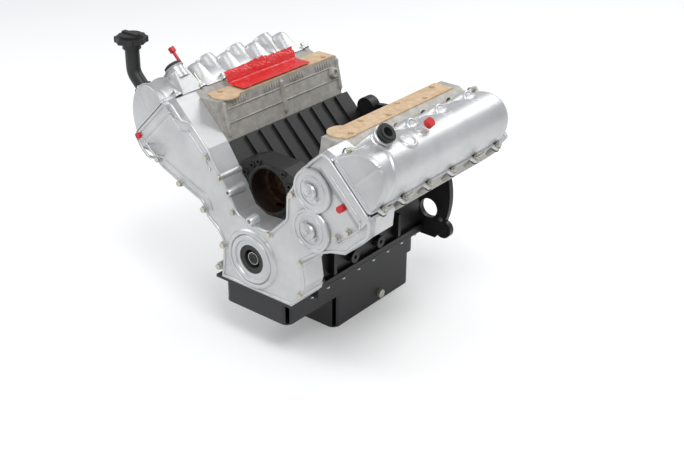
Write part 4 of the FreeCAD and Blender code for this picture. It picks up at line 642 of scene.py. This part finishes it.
COVER_FACE = -63
LEG_FACE = -81
ROUND_PADS = ((184, 230), (180, 134))
PAD_FACE = -68
SEAL_FACE = -66
FRONT_LINE = [
    (-100, -80), (-92, -20), (-92, 20), (-108, 42), (-140, 64), (-154, 98), (-215, 120),
    (-285, 148), (-334, 190), (-352, 219), (-246, 325), (-222, 335), (-126, 239), (-64, 147),
    (-40, 106), (-6, 90), (58, 90), (106, 138), (108, 192), (127, 224), (150, 250), (150, 270),
    (222, 335), (246, 325), (352, 219), (348, 176), (296, 130), (272, 105), (232, 96), (196, 80),
    (152, 46), (160, -14), (148, -52), (118, -80),
]


class FrontSizes(bpy.types.PropertyGroup):
    bead: bpy.props.FloatProperty(
        name="Bead", description="Radius of the raised edge round the timing cover",
        default=0.0034, min=0.001, max=0.006, unit="LENGTH")
    inset: bpy.props.FloatProperty(
        name="Inset", description="How far in from the cover's edge that bead runs",
        default=0.0045, min=0.001, max=0.012, unit="LENGTH")


def rounded_line(points, spacing=3.0):
    """A closed outline resampled evenly, its corners rounded by averaging neighbours twice."""
    points = np.array([*points, points[0]], float)
    runs = np.linalg.norm(np.diff(points, axis=0), axis=1)
    stops = np.concatenate([[0], np.cumsum(runs)])
    gone = np.arange(0, stops[-1], spacing)
    line = np.stack([np.interp(gone, stops, column) for column in points.T], -1)
    for _ in range(2):
        line = sum(np.roll(line, shift, 0) for shift in range(-2, 3)) / 5
    return line


def shifted(line, distance):
    """A closed line moved to its inside by a distance."""
    step = np.roll(line, -1, 0) - np.roll(line, 1, 0)
    normal = np.stack([step[:, 1], -step[:, 0]], -1) / np.linalg.norm(step, axis=1)[:, None]
    return line + normal * distance


def edge_beads(shape, sizes):
    """Two beads along the cover's edge, the inner one on the legs only. Both lie further forward
    where a bank's height, 0.71 (|across| + up), passes a limit. The legs' own faces slope, so
    the outer bead stands off them in places."""
    edge = rounded_line(FRONT_LINE)
    inner = shifted(edge, 26)
    inner = inner[(inner[:, 0] < -120) | (inner[:, 0] > 240)]
    beads = ((shifted(edge, sizes.inset * MM), sizes.bead * MM, 338), (inner, 2.2, 326))
    for line, radius, limit in beads:
        on_leg = np.abs(line[:, 0]) * 0.71 + line[:, 1] * 0.71 > limit
        depth = np.where(on_leg, float(LEG_FACE), COVER_FACE)
        for _ in range(3):
            depth[1:-1] = (depth[:-2] + depth[1:-1] + depth[2:]) / 3
        gaps = np.nonzero(np.linalg.norm(np.diff(line, axis=0), axis=1) > 12)[0] + 1
        for run, deep in zip(np.split(line, gaps), np.split(depth, gaps)):
            if len(run) > 8:
                shape.bead(ahead(run[:, 0], deep, run[:, 1]), radius)


def timing_cover_relief(sizes):
    """Edge beads, and turned profiles of (radius, height) for rings, bosses and stand-offs."""
    shape = Shape()
    edge_beads(shape, sizes)
    for across, up in ROUND_PADS:
        for radius, bead in ((47, 2.6), (33, 1.6)):
            ring = [(radius - bead * 1.6, -1), (radius - bead, bead * 0.7), (radius, bead),
                    (radius + bead, bead * 0.7), (radius + bead * 1.6, -1)]
            shape.lathe(facing_front(across, up, PAD_FACE), ring, 72, True)
        boss = [(0, -1), (19, -1), (17, 3), (13, 4.5), (11, 3), (5, 3), (4, 7), (0, 7)]
        shape.lathe(facing_front(across - 4, up - 2, PAD_FACE - 5), boss, 48)
        for beside, over, radius in ((-16, 12, 7), (12, -16, 6)):
            stub = [(radius, -4), (radius - 0.5, 4), (radius - 2, 5), (0, 5)]
            shape.lathe(facing_front(across + beside, up + over, PAD_FACE - 3), stub, 20)
    seal_rings = [(46, -4), (49, 3), (52, 4), (58, 3), (61, -1), (63, 2.4), (68, 3), (72, 1.5),
                  (75, -3)]
    shape.lathe(facing_front(0, 0, SEAL_FACE), seal_rings, 96, True)
    stand_off = [(12, -20), (9.5, 4), (9, 28), (7.5, 30), (4, 30), (3.6, 22), (0, 22)]
    shape.lathe(facing_front(-64, 150, -40), stand_off, 28)
    lug = [(13, -10), (11, 10), (9, 14), (5, 14), (4, 8), (0, 8)]
    shape.lathe(facing_front(0, 98, -56), lug, 28)
    shape.make("front_cover_relief", "silver_paint")


# ------------------------------------------------------------------ film, heads, pump housing

BOARD_TOP = 332.2


class FilmSizes(bpy.types.PropertyGroup):
    folds: bpy.props.FloatProperty(
        name="Folds", description="How far the film's middle stands over the rest of its edge",
        default=0.005, min=0.001, max=0.009, unit="LENGTH")


def film_grid(rows=150, columns=90):
    """Crinkles of the film over its length and width, sums of sin(ax + by) sin(cx - dy)."""
    along, across = np.meshgrid(np.linspace(90, 330, rows), np.linspace(0, 1, columns),
                                indexing="ij")
    ripple = (np.sin(0.11 * along + 9 * across) * np.sin(0.067 * along - 14 * across)
              + 0.5 * np.sin(0.29 * along - 17 * across) + 0.3 * np.sin(0.5 * along + 30 * across))
    return along, across, ripple


def film_sheet(sizes):
    """The film: flat over half its width, then standing up, 25 s^1.1 high and 13 s^2 outwards
    over the rest, s from 0 to 1. Its lower side lies 0.35 mm under it."""
    shape = Shape()
    along, across, ripple = film_grid()
    stand = np.clip((across - 0.5) / 0.5, 0, 1)
    x = -156 - 50 * np.clip(across / 0.55, 0, 1) - 13 * stand ** 2 + 1.2 * ripple * stand
    z = BOARD_TOP + 1.1 * (ripple + 1.5) * (0.2 + stand) + 25 * stand ** 1.1
    z += sizes.folds * MM * stand * bell(along, 210, 34) * (0.6 + 0.4 * ripple)
    top = ahead(x, along + 2 * ripple * stand, z)
    under = top[:, ::-1] - (0.1, 0, 0.35)
    shape.grid(np.concatenate([top, under], 1), round_columns=True)
    shape.make("red_film_sheet", "red_film", replaced="protective_film", sharp=75)


class HeadSizes(bpy.types.PropertyGroup):
    line: bpy.props.FloatProperty(
        name="Line", description="Radius of the split line along the heads",
        default=0.0018, min=0.0005, max=0.004, unit="LENGTH")
    pitch: bpy.props.FloatProperty(
        name="Pitch", description="Distance between the notches under the port face",
        default=0.009, min=0.006, max=0.02, unit="LENGTH")


def head_relief(side, name, sizes):
    """Beads along and down the head's wall over the valley, short beads under the port face and
    a boss behind, all placed in the bank's axes."""
    shape = Shape()
    line = np.linspace(14, 430, 60)
    shape.bead(bank(side, -89.4, line, 291.0), sizes.line * MM)
    shape.bead(bank(side, -105.5, line, 319.0), 2.2)
    down = np.linspace(0, 1, 12)
    out = np.interp(down, (0, 0.35, 1), (-119, -105, -70))
    up = np.interp(down, (0, 0.35, 1), (336, 318, 262))
    for along, radius in ((216, 6.5), (20, 7), (424, 6)):
        shape.bead(bank(side, out, along + 0 * out, up), radius)
    short = np.linspace(0, 1, 5)
    for start, stop in ((52, 92), (158, 205), (250, 300), (345, 400)):
        for along in np.arange(start, stop, sizes.pitch * MM):
            shape.bead(bank(side, -119 + 12 * short, along + 0 * short, 336 - 16 * short), 2.4)
    boss = [(15, -2), (13, 8), (11, 10), (7, 10), (6, 4), (0, 4)]
    shape.lathe(off_the_wall(side, -100, 404, 306), boss, 28)
    shape.make(name + "_head_relief", "cast_aluminium")


def pump_housing_relief():
    """A turned ring round the pump bore and five bosses beside it."""
    shape = Shape()
    rim = [(53.2, -6), (53.4, 1.5), (55, 3), (60, 3), (62, 1.5), (63, -2)]
    shape.lathe(facing_front(0, PUMP_HEIGHT, 0), rim, 96, True)
    boss = [(9, -3), (7.5, 3.5), (4, 3.5), (3.4, 0), (0, 0)]
    for across, up in ((-50, 200), (-30, 214), (44, 204), (62, 178), (-72, 176)):
        shape.lathe(facing_front(across, up, 0), boss, 20)
    shape.make("pump_housing_relief", "cast_iron")


def crank_end_face():
    """Turned steps on the snout's tip and a ring behind them on its shoulder."""
    shape = Shape()
    tip = [(0, 0), (5, 0), (5.5, 1.2), (9.5, 1.2), (10.5, 0.2), (13.5, 0.2), (13.8, -0.5)]
    shape.lathe(facing_front(0, 0, -59.9), tip, 48)
    ring = [(17, 0), (17, 3), (19, 4), (21, 3), (23, 3), (23, 0)]
    shape.lathe(facing_front(0, 0, -46), ring, 48, True)
    shape.make("crank_end_face", "black_steel", "crank")


# ------------------------------------------------------------------ operators

class BLOCK_OT_finishes(bpy.types.Operator):
    """Gives every carried-over node the finish of its material slot"""
    bl_idname = "longblock.finishes"
    bl_label = "Finishes"

    def execute(self, context):
        make_finishes(context.scene.longblock_colours)
        for item in frame["record"]["subparts"]:
            thing = NODES[item["node"]]
            thing.data.materials.clear()
            thing.data.materials.append(FINISHES[item["material_slot"]])
        return {"FINISHED"}


class BLOCK_OT_covers(bpy.types.Operator):
    """Makes both cam covers as flowing castings with their flanges, towers and necks"""
    bl_idname = "longblock.covers"
    bl_label = "Cam Covers"

    def execute(self, context):
        cam_cover(RIGHT, "right", context.scene.longblock_cover)
        cam_cover(LEFT, "left", context.scene.longblock_cover)
        return {"FINISHED"}


class BLOCK_OT_front(bpy.types.Operator):
    """Raises beads, rings and bosses on the timing cover's face"""
    bl_idname = "longblock.front"
    bl_label = "Timing Cover Relief"

    def execute(self, context):
        timing_cover_relief(context.scene.longblock_front)
        return {"FINISHED"}


class BLOCK_OT_film(bpy.types.Operator):
    """Lays the crinkled film on its board"""
    bl_idname = "longblock.film"
    bl_label = "Film"

    def execute(self, context):
        film_sheet(context.scene.longblock_film)
        return {"FINISHED"}


class BLOCK_OT_heads(bpy.types.Operator):
    """Puts ribs and notches on the heads' walls"""
    bl_idname = "longblock.heads"
    bl_label = "Head Relief"

    def execute(self, context):
        head_relief(RIGHT, "right", context.scene.longblock_head)
        head_relief(LEFT, "left", context.scene.longblock_head)
        return {"FINISHED"}


class BLOCK_OT_trim(bpy.types.Operator):
    """Finishes the pump housing's rim and the crank's end"""
    bl_idname = "longblock.trim"
    bl_label = "Pump Housing and Crank End"

    def execute(self, context):
        pump_housing_relief()
        crank_end_face()
        return {"FINISHED"}


class BLOCK_OT_stage(bpy.types.Operator):
    """Puts in the pale floor, the backdrop, the lamps and the camera"""
    bl_idname = "longblock.stage"
    bl_label = "Stage"

    def execute(self, context):
        low, reach = CAD_BOX[0][2], 9
        mesh = bpy.data.meshes.new("floor")
        mesh.from_pydata([(-reach, -reach, low), (reach, -reach, low), (reach, reach, low),
                          (-reach, reach, low)], [], [(0, 1, 2, 3)])
        floor = bpy.data.objects.new("floor", mesh)
        context.scene.collection.objects.link(floor)
        mesh.materials.append(paper("floor"))
        backdrop()
        aim = (0, -0.2, 0.1)
        soft_lamp("key", (1.6, -1.4, 3.0), aim, 1.4, 62)
        soft_lamp("fill", (-2.6, -1.8, 2.0), aim, 1.6, 34)
        soft_lamp("back", (0.2, 2.6, 2.6), aim, 1.8, 42)
        camera()
        context.scene.view_settings.view_transform = "Standard"
        return {"FINISHED"}


class BLOCK_PT_sidebar(bpy.types.Panel):
    """Lists the dressing's groups, each with its sizes"""
    bl_label = "Long Block Dressing"
    bl_space_type = "VIEW_3D"
    bl_region_type = "UI"
    bl_category = "Long Block"

    def draw(self, context):
        for group, steps in GROUPS.items():
            box = self.layout.box()
            if group in SETTINGS:
                settings = getattr(context.scene, group)
                for name in SETTINGS[group].__annotations__:
                    box.prop(settings, name)
            for step in steps:
                box.operator(step)


SETTINGS = {"longblock_colours": FinishColours, "longblock_cover": CoverSizes,
            "longblock_front": FrontSizes, "longblock_film": FilmSizes,
            "longblock_head": HeadSizes}
GROUPS = {
    "longblock_colours": ("longblock.finishes",),
    "longblock_cover": ("longblock.covers",),
    "longblock_front": ("longblock.front",),
    "longblock_film": ("longblock.film",),
    "longblock_head": ("longblock.heads",),
    "trim_and_stage": ("longblock.trim", "longblock.stage"),
}
CLASSES = [*SETTINGS.values(), BLOCK_OT_finishes, BLOCK_OT_covers, BLOCK_OT_front, BLOCK_OT_film,
           BLOCK_OT_heads, BLOCK_OT_trim, BLOCK_OT_stage, BLOCK_PT_sidebar]


def register():
    for item in CLASSES:
        bpy.utils.register_class(item)
    for name, kind in SETTINGS.items():
        setattr(bpy.types.Scene, name, bpy.props.PointerProperty(type=kind))


def unregister():
    for name in SETTINGS:
        delattr(bpy.types.Scene, name)
    for item in reversed(CLASSES):
        bpy.utils.unregister_class(item)


def main():
    register()
    bpy.ops.longblock.finishes()
    bpy.ops.longblock.covers()
    bpy.ops.longblock.front()
    bpy.ops.longblock.film()
    bpy.ops.longblock.heads()
    bpy.ops.longblock.trim()
    bpy.ops.longblock.stage()


if __name__ == "__main__":
    main()
